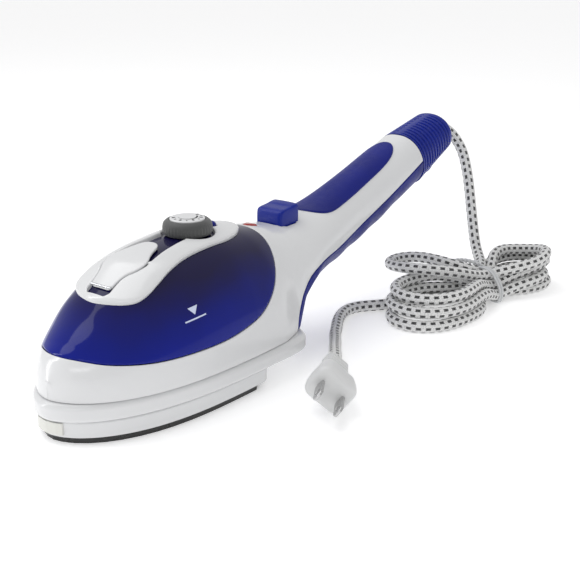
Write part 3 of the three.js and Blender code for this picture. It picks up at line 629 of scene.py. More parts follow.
def tank_plastic():
    """Deep blue tinted plastic, its colour painted by height: vivid low down as painted light shining
    through it, near black towards the top as painted shade.
    """
    material, shader, tree = new_material(
        "tank_plastic", (0.002, 0.006, 0.2), 0.07, Coat_Weight=0.08, Coat_Roughness=0.03,
        Specular_IOR_Level=0.2,
    )
    source = tree.nodes.new("ShaderNodeTexCoord")
    parts = tree.nodes.new("ShaderNodeSeparateXYZ")
    tree.links.new(source.outputs["Object"], parts.inputs["Vector"])
    # Height drives painted light and shade: low on the tank is painted vivid, as if lit through, and the
    # top is painted near black.
    height = tree.nodes.new("ShaderNodeMapRange")
    height.inputs["From Min"].default_value = 0.036
    height.inputs["From Max"].default_value = 0.082
    tree.links.new(parts.outputs["Z"], height.inputs["Value"])
    cloud = texture(tree, "ShaderNodeTexNoise", 26, Detail=2.0)
    blend = tree.nodes.new("ShaderNodeMath")
    blend.operation = "MULTIPLY_ADD"
    blend.inputs[1].default_value = 0.55
    tree.links.new(cloud.outputs["Fac"], blend.inputs[0])
    tree.links.new(height.outputs["Result"], blend.inputs[2])
    # Painted light and shade with a faint random drift: vivid blue below, near black towards the top.
    colour = ramp(tree, blend.outputs["Value"], [
        (0.2, (0.0005, 0.008, 0.25)), (0.55, (0.001, 0.006, 0.17)), (0.8, (0.005, 0.005, 0.085)),
        (1.0, (0.008, 0.006, 0.045)),
    ])
    tree.links.new(colour, shader.inputs["Base Color"])
    ripple = texture(tree, "ShaderNodeTexNoise", 35, Detail=1.0)
    bump(tree, shader, ripple.outputs["Fac"], 0.04, 0.0006)
    return material


def brushed(name, colour, roughness, stretch):
    """Drawn or brushed metal: fine scratches along one direction and a drift in polish."""
    material, shader, tree = new_material(name, colour, roughness, Metallic=1.0)
    source = tree.nodes.new("ShaderNodeTexCoord")
    mapping = tree.nodes.new("ShaderNodeMapping")
    mapping.inputs["Scale"].default_value = stretch
    tree.links.new(source.outputs["Object"], mapping.inputs["Vector"])
    lines = tree.nodes.new("ShaderNodeTexNoise")
    lines.inputs["Scale"].default_value = 700
    lines.inputs["Detail"].default_value = 3.0
    tree.links.new(mapping.outputs["Vector"], lines.inputs["Vector"])
    tree.links.new(
        ramp(tree, lines.outputs["Fac"], [(0.3, roughness - 0.08), (0.7, roughness + 0.12)]),
        shader.inputs["Roughness"],
    )
    bump(tree, shader, lines.outputs["Fac"], 0.12, 0.0002)
    return material


def sole_coating():
    """Smooth dark non-stick coating with fine pale flecks and rubbed marks."""
    material, shader, tree = new_material("sole_coating", (0.018, 0.018, 0.02), 0.3)
    flecks = texture(tree, "ShaderNodeTexVoronoi", 1300)
    tree.links.new(
        ramp(tree, flecks.outputs["Distance"], [(0.06, 0.12), (0.12, 0.018)]),
        shader.inputs["Base Color"],
    )
    rub = texture(tree, "ShaderNodeTexNoise", 45, Detail=5.0)
    tree.links.new(
        ramp(tree, rub.outputs["Fac"], [(0.35, 0.22), (0.7, 0.42)]), shader.inputs["Roughness"],
    )
    bump(tree, shader, flecks.outputs["Distance"], 0.1, 0.0001)
    return material


FLECK_PITCH = 5.1
FLECK_COLUMNS = 6
STRAND_COUNT = 9
STRAND_PITCH = 2.6


def braid_cloth():
    """A woven white sleeve with short dark flecks set like bricks, from the tube's own UVs."""
    material, shader, tree = new_material(
        "cord_braid", (0.8, 0.8, 0.79), 0.75, Sheen_Weight=0.35, Sheen_Roughness=0.5,
    )

    def math_node(operation, first, second=None):
        node = tree.nodes.new("ShaderNodeMath")
        node.operation = operation
        for socket, value in zip(node.inputs, (first, second)):
            if value is None:
                continue
            if isinstance(value, (int, float)):
                socket.default_value = value
            else:
                tree.links.new(value, socket)
        return node.outputs["Value"]

    source = tree.nodes.new("ShaderNodeTexCoord")
    parts = tree.nodes.new("ShaderNodeSeparateXYZ")
    tree.links.new(source.outputs["UV"], parts.inputs["Vector"])
    along = math_node("MULTIPLY", parts.outputs["X"], 10.0 / FLECK_PITCH)
    column = math_node("MULTIPLY", parts.outputs["Y"], FLECK_COLUMNS)
    odd = math_node("MODULO", math_node("FLOOR", column), 2.0)
    shifted = math_node("ADD", along, math_node("MULTIPLY", odd, 0.5))
    place = math_node("FRACT", shifted)
    long_edge = math_node("ABSOLUTE", math_node("SUBTRACT", place, 0.5))
    across = math_node("ABSOLUTE", math_node("SUBTRACT", math_node("FRACT", column), 0.5))
    wave = math_node("MULTIPLY", math_node("SINE", math_node("MULTIPLY", across, 34.0)), 0.035)
    inside_long = math_node("LESS_THAN", math_node("ADD", long_edge, wave), 0.27)
    inside_wide = math_node("LESS_THAN", across, 0.25)
    fleck = math_node("MULTIPLY", inside_long, inside_wide)
    threads = texture(tree, "ShaderNodeTexNoise", 1500, Detail=2.0)
    pale = ramp(tree, threads.outputs["Fac"], [(0.3, (0.6, 0.6, 0.6)), (0.6, (0.84, 0.84, 0.83))])
    dark = ramp(tree, threads.outputs["Fac"], [(0.35, (0.012, 0.012, 0.014)), (0.75, (0.1, 0.1, 0.1))])
    mix = tree.nodes.new("ShaderNodeMix")
    mix.data_type = "RGBA"
    tree.links.new(fleck, mix.inputs["Factor"])
    tree.links.new(pale, mix.inputs["A"])
    tree.links.new(dark, mix.inputs["B"])
    tree.links.new(mix.outputs["Result"], shader.inputs["Base Color"])
    turn = math_node("MULTIPLY", parts.outputs["Y"], 2 * math.pi * STRAND_COUNT)
    run = math_node("MULTIPLY", parts.outputs["X"], 2 * math.pi * 10.0 / STRAND_PITCH)
    right = math_node("SINE", math_node("ADD", run, turn))
    left = math_node("SINE", math_node("SUBTRACT", run, turn))
    weave = math_node("MULTIPLY", right, left)
    bump(tree, shader, weave, 0.7, 0.0003)
    return material


tank_blue = tank_plastic()
steel = brushed("plated_steel", (0.62, 0.63, 0.65), 0.24, (1, 12, 1))
aluminium = brushed("cast_aluminium", (0.6, 0.61, 0.63), 0.42, (1, 1, 1))
sole_black = sole_coating()
braid = braid_cloth()
blade_metal = brushed("blade_metal", (0.5, 0.5, 0.5), 0.26, (1, 1, 9))

NODE_MATERIALS = {
    "soleplate": sole_black, "front_catch": nylon, "heating_element": steel,
    "steam_chamber_cover": aluminium, "thermostat": steel, "thermal_fuse": nylon,
    "flap_hinge_pin": steel, "filler_seal": rubber, "dial_shaft": nylon, "shaft_sleeve": nylon,
    "button_spring": steel, "pump_cylinder": nylon, "pump_piston": rubber,
    "suction_tube": nylon, "delivery_tube": nylon, "indicator_lamp": red_lens,
    "cord_clamp": nylon, "terminal_block": nylon,
}
for node_name, node_material in NODE_MATERIALS.items():
    node_mesh = nodes[node_name].data
    node_mesh.materials.clear()
    node_mesh.materials.append(node_material)


# ---- placing pieces -------------------------------------------------------------------
def finish_piece(piece, body, slot, *replaced):
    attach(piece, body)
    if replaced:
        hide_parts(*replaced)
    return piece


def lathe(profile, sides, flute=None):
    """A turned piece about local Z from [radius, height] pairs, as bare points and faces."""
    r, z = np.asarray(profile, float).T
    angle = np.linspace(0, 2 * math.pi, sides, endpoint=False)
    radius = np.repeat(r[:, None], sides, 1)
    if flute is not None:
        radius = radius + flute(radius, z[:, None], angle[None, :])
    points = np.stack([
        radius * np.cos(angle), radius * np.sin(angle), np.repeat(z[:, None], sides, 1),
    ], -1).reshape(-1, 3)
    faces = grid_faces(len(r), sides, True)
    return points, faces


def soft_profile(corners, radius, steps=5):
    """An open profile whose inner corners are rounded with short arcs."""
    line = [corners[0]]
    for before, corner, after in zip(corners, corners[1:], corners[2:]):
        b, c, a = (np.asarray(p, float) for p in (before, corner, after))
        back = min(radius, 0.45 * np.linalg.norm(b - c))
        ahead = min(radius, 0.45 * np.linalg.norm(a - c))
        start = c + (b - c) / np.linalg.norm(b - c) * back
        end = c + (a - c) / np.linalg.norm(a - c) * ahead
        for i in range(steps + 1):
            t = i / steps
            line.append(tuple((1 - t) ** 2 * start + 2 * t * (1 - t) * c + t * t * end))
    line.append(corners[-1])
    return line


def smooth_edge(points, step=3.0):
    """A side or plan line made smooth, as (a, b) pairs."""
    flat = [(a, b, 0.0) for a, b in points]
    return [(p[0], p[1]) for p in evenly(flat, step)]


# ---- shells on the body ---------------------------------------------------------------
TANK_EDGE = smooth_edge([
    (-6, 43), (10, 41.4), (20, 38.8), (32, 37), (46, 35.8), (66, 35.4), (86, 36), (102, 38.4),
    (114, 42), (124, 48.5), (132, 56.5), (138, 64), (142, 71), (144.5, 80),
])
GRIP_EDGE = smooth_edge([
    (147, 10), (148, 25), (152, 32.8), (157.5, 39.2), (166, 44.3), (181, 48.2), (205, 50.8),
    (228, 55.6), (258, 66.4), (282, 76.6), (325, 96),
])
TANK_OUTLINE = [*TANK_EDGE, (144.5, 130), (-6, 130)]
GRIP_OUTLINE = [*GRIP_EDGE, (325, -20), (147, -20)]
PAD_HALVES = [
    (195.5, 0), (196.5, 5), (199, 9.4), (204, 12.6), (211, 13.6), (225, 12.7), (245, 11.8),
    (265, 11.4), (276, 10.2), (282, 7.6), (285.5, 4), (286.5, 0),
]
SADDLE_HALVES = [
    (33.5, 0), (34.2, 6), (35.8, 11.6), (38.5, 16.5), (43, 20.6), (49, 22.2), (56, 21.8),
    (66, 20), (80, 18), (97, 17.8), (110, 17.4), (120, 15.2), (128, 11.4), (133, 6.4), (135, 0),
]
FLAP_HALVES = [
    (39.6, 0), (39.6, 6.4), (44, 6.8), (48, 8), (52, 10.6), (56.5, 11.6), (61, 10.8),
    (65, 8.4), (69, 6.8), (73, 5.6), (75.6, 3.4), (76.4, 0),
]
FLAP_HOLE_HALVES = [
    (36.2, 0), (36.2, 7.0), (44, 7.2), (48, 8.4), (52, 11.0), (56.5, 12.0), (61, 11.8), (61, 0),
]
RECESS_HALVES = [(60, 0), (60, 11.6), (66, 10.8), (74, 9.6), (84, 8.6), (92, 8.6), (97, 0)]
NOTCH_HALVES = [(108, 0), (108, 4.6), (116, 4.4), (119.5, 3.6), (122.2, 0)]
BUTTON_WIDTH = 18.0
BUTTON_LENGTH = 17.0

tank_seam = side_value(TANK_OUTLINE)
grip_seam = side_value(GRIP_OUTLINE)
saddle_seam = plan_value(rounded(mirrored(SADDLE_HALVES), 2))
flap_seam = plan_value(rounded(mirrored(FLAP_HALVES), 2))
flap_hole_seam = plan_value(rounded(mirrored(FLAP_HOLE_HALVES), 1))
recess_seam = plan_value(rounded(mirrored(RECESS_HALVES), 2))
notch_seam = plan_value(rounded(mirrored(NOTCH_HALVES), 2))
pad_seam = plan_value(rounded(mirrored(PAD_HALVES), 2))
button_hole = plan_value(rounded([
    (-9.5, 166), (9.5, 166), (9.5, 184), (-9.5, 184)], 1))
lens_hole = plan_value(rounded([
    (0, 143.8), (4.2, 150), (4.4, 153.6), (-4.4, 153.6), (-4.2, 150)], 2))


def before_joint(station, angle):
    p = body_point(station, angle)
    along = ((p[:, 1] - JOINT_STATION) * math.cos(HANDLE_SLOPE)
             + (p[:, 2] - JOINT_HEIGHT) * math.sin(HANDLE_SLOPE))
    return -along


def housing_seam(s, a):
    return np.minimum.reduce([
        -tank_seam(s, a), -grip_seam(s, a), before_joint(s, a), -button_hole(s, a),
        -lens_hole(s, a),
    ])


def grip_region(s, a):
    return np.minimum(grip_seam(s, a), before_joint(s, a))


def dial_hole(s, a):
    """Distance inside the round opening of the saddle that the dial turns in."""
    p = body_point(s, a)
    return DIAL_RADIUS + 2 * GAP - np.hypot(p[:, 0], p[:, 1] - DIAL_STATION)


def saddle_region(s, a):
    return np.minimum.reduce([
        saddle_seam(s, a), -flap_hole_seam(s, a), -recess_seam(s, a), -notch_seam(s, a),
        -dial_hole(s, a),
    ])


def finger_waves(s, a):
    """Shallow hollows for the fingers along the underside of the handle."""
    where = smoothstep(s, 178, 200) * (1 - smoothstep(s, 280, 300))
    under = np.clip(-np.sin(a), 0, 1) ** 0.8
    return -0.5 * where * under * (0.5 - 0.5 * np.cos(2 * math.pi * (s - 192) / 24))


finish_piece(
    shell("tank_shell", tank_seam, 210, 190, 3.4005, 146, tank_blue, roll=0.6), "steamer",
    "blue_tank", "water_tank")
finish_piece(
    shell("housing_shell", housing_seam, 330, 190, 3.4005, 312, white, roll=0.6), "steamer",
    "white_shell", "housing")
finish_piece(
    shell("grip_shell", grip_region, 170, 170, 146, 316, blue_soft, roll=0.6,
          relief=finger_waves), "steamer", "blue_soft_touch", "under_grip")
finish_piece(
    shell("saddle_shell", saddle_region, 130, 260, 30, 138, white, offset=SKIN_HEIGHT, roll=1.1,
          depth=2.6, clearance=0.05), "steamer", "white_shell", "tank_saddle")
flap_piece = finish_piece(
    shell("flap_shell", flap_seam, 90, 300, 36, 79, white, offset=SKIN_HEIGHT + 0.1, roll=0.6,
          depth=1.4, clearance=0.0), "flap", "white_shell", "filler_flap")
finish_piece(
    shell("pad_shell", pad_seam, 120, 240, 193, 289, blue_soft, offset=0.95, roll=1.0,
          depth=1.4, clearance=0.0), "steamer", "blue_soft_touch", "grip_pad")
finish_piece(
    shell("lens_shell", plan_value(rounded([
        (0, 144.4), (3.7, 150), (4.0, 153.2), (-4.0, 153.2), (-3.7, 150)], 2)),
        40, 400, 142, 155, red_lens, offset=0.7, roll=1.0, depth=2.4, clearance=0.0),
    "steamer", "red_lens", "indicator_lens")


# ---- base -----------------------------------------------------------------------------
def base_half_width(station, end, widest):
    nose = 1 - np.minimum(station / widest, 1)
    heel = np.maximum((station - widest) / (end - widest), 0)
    front = (1 - nose**NOSE_POWER) ** (1 / SIDE_POWER)
    back = np.maximum(1 - heel**HEEL_POWER, 0) ** (1 / HEEL_SIDE_POWER)
    return BASE_WIDTH / 2 * np.minimum(front, back)


def base_outline(inset, end=BASE_LENGTH, steps=150):
    """The plan outline drawn in by a distance, from the nose along +X and back along -X."""
    widest = min(BASE_WIDEST, end - 14)
    narrowing = 1 - 2 * inset / BASE_WIDTH
    shortening = 1 - 2 * inset / end
    station = end / 2 * (1 - np.cos(np.linspace(0, math.pi, steps)))
    half = base_half_width(station, end, widest) * narrowing
    station = inset + station * shortening
    right = np.stack([half, station], -1)
    left = np.stack([-half[-2:0:-1], station[-2:0:-1]], -1)
    return np.concatenate([right, left])


def stack(name, rings, material, smooth_below=40):
    """Joins closed plan outlines at given heights into one smooth band."""
    count = len(rings[0][0])
    points = np.concatenate([
        np.column_stack([outline, np.full(count, z)]) for outline, z in rings
    ])
    return make_mesh(name, points, grid_faces(len(rings), count, True), smooth_below, material)


FLANGE_PROFILE = soft_profile([
    (14, FLANGE_TOP - 0.4), (1.9, FLANGE_TOP - 0.4), (0.1, 18.8), (0, 12.9), (0.9, SKIRT_TOP),
], 1.2)
flange_rings = [(base_outline(max(inset, 0)), z) for inset, z in FLANGE_PROFILE]
flange_rings += [(base_outline(8.5, HEEL_OF_SOLE), SKIRT_TOP), (base_outline(8.8, HEEL_OF_SOLE), 16)]
flange_piece = stack("flange_ring", flange_rings, white)
finish_piece(flange_piece, "steamer", "white_shell", "base_flange")
SKIRT_PROFILE = soft_profile([
    (4.6, SKIRT_TOP - GAP), (2.9, SKIRT_TOP - GAP), (2.3, 10.9), (2.45, 4.1), (3.0, 3.3), (4.7, 3.3),
], 0.6)
skirt_rings = [(base_outline(inset, HEEL_OF_SOLE + 2), z) for inset, z in SKIRT_PROFILE]
skirt_rings.append((base_outline(4.7, HEEL_OF_SOLE + 2), SKIRT_TOP - GAP))
finish_piece(stack("skirt_band", skirt_rings, white), "steamer", "white_shell", "skirt_ring")


# ---- dial -----------------------------------------------------------------------------
DIAL_LOW = float(top_line(DIAL_STATION))
DIAL_HIGH = DIAL_LOW + 7.8
DISC_RADIUS = 9.2


def moved(points, x, y, z=0.0):
    return np.asarray(points) + np.array([x, y, z])


def knob_flutes(radius, z, angle):
    """Shallow finger flutes round the knob's lower half."""
    low = smoothstep(z, DIAL_LOW + 0.6, DIAL_LOW + 1.6) * (1 - smoothstep(z, DIAL_LOW + 4, DIAL_LOW + 6))
    outside = smoothstep(radius, 11.5, 12.6)
    return -0.16 * low * outside * (0.5 + 0.5 * np.cos(40 * angle))


knob_profile = [(0, DIAL_LOW + 2), (10.4, DIAL_LOW + 2)] + soft_profile([
    (10.4, DIAL_LOW + 1), (10.6, DIAL_LOW), (12.3, DIAL_LOW), (DIAL_RADIUS, DIAL_LOW + 1.4),
    (DIAL_RADIUS, DIAL_LOW + 3.8), (DIAL_RADIUS - 0.5, DIAL_LOW + 6),
    (DIAL_RADIUS - 2.2, DIAL_HIGH - 0.35), (DISC_RADIUS + 0.3, DIAL_HIGH),
    (DISC_RADIUS + 0.15, DIAL_HIGH - 1.2),
], 1.0, 6) + [(0, DIAL_HIGH - 1.2)]
knob_points, knob_faces = lathe(knob_profile, 240, knob_flutes)
knob = make_mesh("dial_body", moved(knob_points, 0, DIAL_STATION), knob_faces, 40, grey_soft)
finish_piece(knob, "dial", "grey_soft_touch", "dial_knob")
disc_profile = soft_profile([
    (0, DIAL_HIGH - 1.1), (DISC_RADIUS, DIAL_HIGH - 1.1), (DISC_RADIUS, DIAL_HIGH + 0.3),
    (DISC_RADIUS - 1, DIAL_HIGH + 0.62), (0, DIAL_HIGH + 0.75),
], 0.5)
disc_points, disc_faces = lathe(disc_profile, 96)
disc = make_mesh("dial_disc", moved(disc_points, 0, DIAL_STATION), disc_faces, 40, white)
finish_piece(disc, "dial", "white_shell", "dial_cap")


def dial_marks():
    """A scale of short strokes and a widening band round the disc."""
    points, faces = [], []

    def sector(r0, r1, a0, a1, steps):
        first = len(points)
        for i in range(steps + 1):
            a = a0 + (a1 - a0) * i / steps
            outer = r1 if not callable(r1) else r1(i / steps)
            for r in (r0, outer):
                z = DIAL_HIGH + 0.8 - 0.02 * max(r - 5, 0)
                points.append((r * math.cos(a), DIAL_STATION + r * math.sin(a), z))
        for i in range(steps):
            a = first + 2 * i
            faces.append((a, a + 1, a + 3, a + 2))

    for k in range(9):
        centre = math.radians(-130 + k * 27)
        half = 0.045 if k % 2 else 0.075
        sector(6.9 if k % 2 else 6.2, 8.0, centre - half, centre + half, 2)
    sector(4.6, lambda t: 4.7 + 0.9 * t, math.radians(-130), math.radians(60), 40)
    return make_mesh("dial_scale", points, faces, 40, mark_black)


finish_piece(dial_marks(), "dial", "white_shell")
POINTER_TOP = float(top_line(POINTER_STATION)) + 4.2
POINTER_RADIUS = 3.2
pointer_profile = [(0, POINTER_TOP), *[
    (POINTER_RADIUS * math.sin(t), POINTER_TOP - 2.2 + 2.2 * math.cos(t))
    for t in np.linspace(0.15, math.pi / 2, 9)
], (POINTER_RADIUS, POINTER_TOP - 5.5)]
dome_points, dome_faces = lathe(pointer_profile, 64)
dome = make_mesh("pointer_dome", moved(dome_points, 0, POINTER_STATION - 0.2),
                 dome_faces, 50, blue_soft)
finish_piece(dome, "steamer", "blue_soft_touch", "dial_pointer")


# ---- steam button ---------------------------------------------------------------------
def cushion_block(name, outline, half_width, edge, material, crown=0.0):
    """A side outline of [station, height] drawn across X, its ends rounded over."""
    line = rounded(outline, 3)
    centre = line.mean(0)
    size = (line.max(0) - line.min(0)) / 2
    ends = [(-half_width + edge * (1 - math.sin(t)), edge * (1 - math.cos(t)))
            for t in np.linspace(math.pi / 2, 0, 7)[::-1]]
    ends = sorted(ends)
    places = ends + [(x, 0.0) for x in np.linspace(-half_width + edge, half_width - edge, 9)[1:-1]]
    places += [(-x, inset) for x, inset in reversed(ends)]
    points = []
    for x, inset in places:
        scale = 1 - inset / size
        ring = centre + (line - centre) * scale
        rise = crown * (1 - (x / half_width) ** 2) * (ring[:, 1] > centre[1] + 0.6 * size[1])
        points.append(np.column_stack([np.full(len(ring), x), ring[:, 0], ring[:, 1] + rise]))
    count = len(line)
    faces = grid_faces(len(points), count, True).tolist()
    caps = len(points) * count
    points.append(np.array([[places[0][0], *centre], [places[-1][0], *centre]]))
    last = (len(places) - 1) * count
    for i in range(count):
        j = (i + 1) % count
        faces.append((caps, j, i))
        faces.append((caps + 1, last + i, last + j))
    return make_mesh(name, np.concatenate(points), faces, 40, material)


BUTTON_TOP = 80.8
front, back = BUTTON_STATION - BUTTON_LENGTH / 2, BUTTON_STATION + BUTTON_LENGTH / 2
button_outline = [
    (front + 0.2, 65), (back - 0.2, 65), (back, BUTTON_TOP - 1.0), (back - 1.2, BUTTON_TOP),
    (BUTTON_STATION, BUTTON_TOP - 1.2), (front + 1.8, BUTTON_TOP - 1.7),
    (front, BUTTON_TOP - 3.6),
]
finish_piece(
    cushion_block("button_top", button_outline, BUTTON_WIDTH / 2, 1.6, blue_gloss, 0.3),
    "button", "blue_gloss", "steam_button")

# the stem below the button, which drives the pump's piston
stem_points, stem_faces = lathe([(0, 51), (2.8, 51), (3, 51.4), (3, 66), (0, 66)], 32)
finish_piece(make_mesh("button_stem", moved(stem_points, 0, BUTTON_STATION), stem_faces, 40,
                       blue_gloss), "button", "blue_gloss")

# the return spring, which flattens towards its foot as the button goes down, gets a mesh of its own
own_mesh(nodes["button_spring"])

# ---- end cap --------------------------------------------------------------------------
CAP_WIDE = 17.2
CAP_NARROW = 15.2
CAP_TALL = 18.0
CAP_TALL_END = 13.6
LUG_ALONG = 25.0
LUG_HEIGHT = -11.0
LUG_RADIUS = 11.0
RIB_COUNT = 10
RIB_DEPTH = 1.0
CAP_ROWS = 260
CAP_COLUMNS = 220


def from_cap(points):
    """Points of the cap's own frame, local y running out of the handle."""
    p = np.asarray(points, float)
    c, s = math.cos(HANDLE_SLOPE), math.sin(HANDLE_SLOPE)
    y = JOINT_STATION + p[..., 1] * c - p[..., 2] * s
    z = JOINT_HEIGHT + p[..., 1] * s + p[..., 2] * c
    return np.stack([p[..., 0], y, z], -1)


def cap_ring(along, angle, inset):
    t = along / CAP_LENGTH
    wide = CAP_WIDE + (CAP_NARROW - CAP_WIDE) * t - inset
    tall = CAP_TALL + (CAP_TALL_END - CAP_TALL) * t - inset
    c, s = np.cos(angle), np.sin(angle)
    x = wide * np.sign(c) * np.abs(c) ** 0.92
    z = tall * np.sign(s) * np.abs(s) ** 0.92
    return np.stack([x, along + 0 * x, z], -1)


def cap_shell():
    along = np.linspace(GAP, CAP_LENGTH - 2.4, CAP_ROWS)
    angle = np.linspace(0, 2 * math.pi, CAP_COLUMNS, endpoint=False)
    v, a = np.meshgrid(along, angle, indexing="ij")
    pitch = (CAP_LENGTH - 7.0) / RIB_COUNT
    phase = ((v - 2.0) / pitch) % 1.0
    groove = smoothstep(0.5 - np.abs(phase - 0.5), 0.1, 0.32)
    inside = smoothstep(v, 1.6, 2.4) * (1 - smoothstep(v, CAP_LENGTH - 5.4, CAP_LENGTH - 4.6))
    top = np.degrees(np.abs((a - math.pi / 2 + math.pi) % (2 * math.pi) - math.pi))
    spine = smoothstep(top, 4, 11)
    below = np.degrees(np.abs((a - 1.5 * math.pi + math.pi) % (2 * math.pi) - math.pi))
    smooth_band = smoothstep(below, 24, 36)
    inset = RIB_DEPTH * (1 - groove) * inside * spine * smooth_band
    body = cap_ring(v, a, inset)
    rings = [*body]
    for t in np.linspace(0.12, 1, 9) * math.pi / 2:
        depth = 2.4 * (1 - math.cos(t))
        rings.append(cap_ring(np.full(CAP_COLUMNS, CAP_LENGTH - 2.4 + 2.4 * math.sin(t)), angle, depth))
    for radius in (11.0, 7.6, 5.9):
        rings.append(np.stack([
            radius * np.cos(angle), np.full(CAP_COLUMNS, CAP_LENGTH), radius * np.sin(angle)], -1))
    rings.append(rings[-1] * [5.55 / 5.9, 1, 5.55 / 5.9] + [0, -0.35, 0])
    rings.append(rings[-1] + [0, -9.0, 0])
    inner = cap_ring(np.full(CAP_COLUMNS, GAP), angle, 2.4)
    rings.insert(0, inner)
    points = from_cap(np.concatenate(rings))
    return make_mesh("cap_body", points, grid_faces(len(rings), CAP_COLUMNS, True), 60, blue_gloss)


finish_piece(cap_shell(), "steamer", "blue_gloss", "end_cap")
lug_profile = soft_profile([
    (0, -3.4), (LUG_RADIUS, -3.4), (LUG_RADIUS, 3.4), (0, 3.4)], 2.2, 7)
lug_points, lug_faces = lathe(lug_profile, 90)
lug_local = np.stack([
    lug_points[:, 2], lug_points[:, 0] + LUG_ALONG, lug_points[:, 1] + LUG_HEIGHT], -1)
finish_piece(make_mesh("cap_lug", from_cap(lug_local), lug_faces, 40, blue_gloss), "steamer",
             "blue_gloss")
gland_profile = soft_profile([
    (3.8, -20), (4.8, -20), (5.3, -7), (5.3, GLAND_PROUD - 0.3), (4.9, GLAND_PROUD),
    (3.75, GLAND_PROUD), (3.7, -20),
], 0.4)
gland_points, gland_faces = lathe(gland_profile, 64)
gland_local = np.stack([
    gland_points[:, 0], gland_points[:, 2] + CAP_LENGTH, gland_points[:, 1]], -1)
finish_piece(make_mesh("cord_sleeve", from_cap(gland_local), gland_faces, 40, rubber), "steamer",
             "dark_rubber", "cord_gland")


# ---- plug -----------------------------------------------------------------------------
PLUG_WIDTH = 23.0
PLUG_HEIGHT = 19.0
PLUG_BODY = 20.0
COLLAR_LENGTH = 17.0
BLADE_SPACING = 12.7
PLUG_PLACE = (87.8, 106.1, 13.2)
PLUG_HEADING = math.radians(-148)
PLUG_ROLL = math.radians(-40)
plug_turn = Matrix.Rotation(PLUG_HEADING, 3, "Z") @ Matrix.Rotation(PLUG_ROLL, 3, "Y")


def from_plug(points):
    p = np.asarray(points, float)
    return p @ np.array(plug_turn).T + np.array(PLUG_PLACE)


def plug_ring(inset, along, steps=10):
    corner = max(5.0 - inset / 2, 1.5)
    half_width = PLUG_WIDTH / 2 - inset - corner
    half_height = PLUG_HEIGHT / 2 - inset - corner
    points = []
    for sx, sz, turn in ((1, 1, 0), (-1, 1, 1), (-1, -1, 2), (1, -1, 3)):
        for i in range(steps + 1):
            angle = (turn + i / steps) * math.pi / 2
            points.append((sx * half_width + corner * math.cos(angle), along,
                           sz * half_height + corner * math.sin(angle)))
    return points


def plug_loft(name, places, material):
    rings = [plug_ring(inset, along) for inset, along in places]
    count = len(rings[0])
    points = np.array([p for ring in rings for p in ring])
    faces = grid_faces(len(rings), count, True).tolist()
    faces.append(list(range(count))[::-1])
    faces.append([(len(rings) - 1) * count + i for i in range(count)])
    return make_mesh(name, from_plug(points), faces, 40, material)


body_places = soft_profile([
    (6.0, -PLUG_BODY), (3.2, -PLUG_BODY), (1.3, -PLUG_BODY + 5), (0.2, -7), (0, -1.6), (1.2, 0),
    (5.0, 0),
], 1.6)
plug_piece = finish_piece(plug_loft("plug_shell", body_places, white_satin), "steamer",
                          "plug_white", "plug_body")
collar_places = [(5.6, -PLUG_BODY - COLLAR_LENGTH)]
for k in range(4):
    low = -PLUG_BODY - COLLAR_LENGTH + 1.2 + k * 3.4
    swell = 0.35 * (3 - k) / 3
    collar_places += [(5.1 + swell - 0.5, low), (5.1 + swell - 0.5, low + 1.9),
                      (5.1 + swell, low + 2.3), (5.1 + swell, low + 3.0)]
collar_places += [(4.3, -PLUG_BODY - 1.4), (4.3, -PLUG_BODY - GAP)]
collar_piece = finish_piece(plug_loft("plug_sleeve", collar_places, white_satin), "steamer",
                            "plug_white", "plug_collar")


def blade(name, side, node):
    """A flat pin with a pointed end and a round hole, in the plug's own frame."""
    length, half, hole = 16.5, 3.175, 1.6
    outline = [(-half, GAP), (half, GAP), (half, length - 1.8), (half - 1.5, length),
               (-half + 1.5, length), (-half, length - 1.8)]
    count = 48
    outer = []
    for i in range(count):
        angle = 2 * math.pi * (i + 0.5) / count
        dx, dz = math.sin(angle), math.cos(angle)
        reach = 1e9
        centre = (0.0, length - 5.2)
        for (ax, ay), (bx, by) in zip(outline, outline[1:] + outline[:1]):
            ex, ey = bx - ax, by - ay
            cross = dx * ey - dz * ex
            if abs(cross) < 1e-9:
                continue
            t = ((ax - centre[0]) * ey - (ay - centre[1]) * ex) / cross
            u = ((ax - centre[0]) * dz - (ay - centre[1]) * dx) / cross
            if t > 0 and -1e-6 <= u <= 1 + 1e-6:
                reach = min(reach, t)
        outer.append((centre[0] + dx * reach, centre[1] + dz * reach, dx, dz))
    points = []
    for thick, inset in ((-0.75, 0.18), (-0.58, 0.0), (0.58, 0.0), (0.75, 0.18)):
        for x, y, dx, dz in outer:
            points.append((side * BLADE_SPACING / 2 + thick, y - dz * inset, x - dx * inset))
    for thick, grow in ((0.75, 0.15), (0.6, 0.0), (-0.6, 0.0), (-0.75, 0.15)):
        for x, y, dx, dz in outer:
            points.append((side * BLADE_SPACING / 2 + thick,
                           length - 5.2 + dz * (hole + grow), dx * (hole + grow)))
    points += points[:count]
    faces = grid_faces(9, count, True)
    piece = make_mesh(name, from_plug(np.array(points)), faces, 30, blade_metal)
    return finish_piece(piece, "steamer", "bright_steel", node)


blade_left = blade("blade_a", -1, "plug_blade_left")
blade_right = blade("blade_b", 1, "plug_blade_right")


# ---- cord and tie ---------------------------------------------------------------------
def tie_line(offset):
    """One wrap of the tie over the bundle's waist, its ends tucked under the strands."""
    path = [(-9, 0.95), (-14.2, 1.4), (-15.4, 5), (-14.9, 10), (-11.4, 14.6), (-7.8, 19.6),
            (-4, 20.8), (4, 20.8), (7.8, 19.6), (12.2, 14.6), (14.9, 10), (15.4, 5), (14.2, 1.4),
            (9, 0.95)]
    return [from_hank(x, TIE_STATION + offset + 0.08 * x, z) for x, z in path]


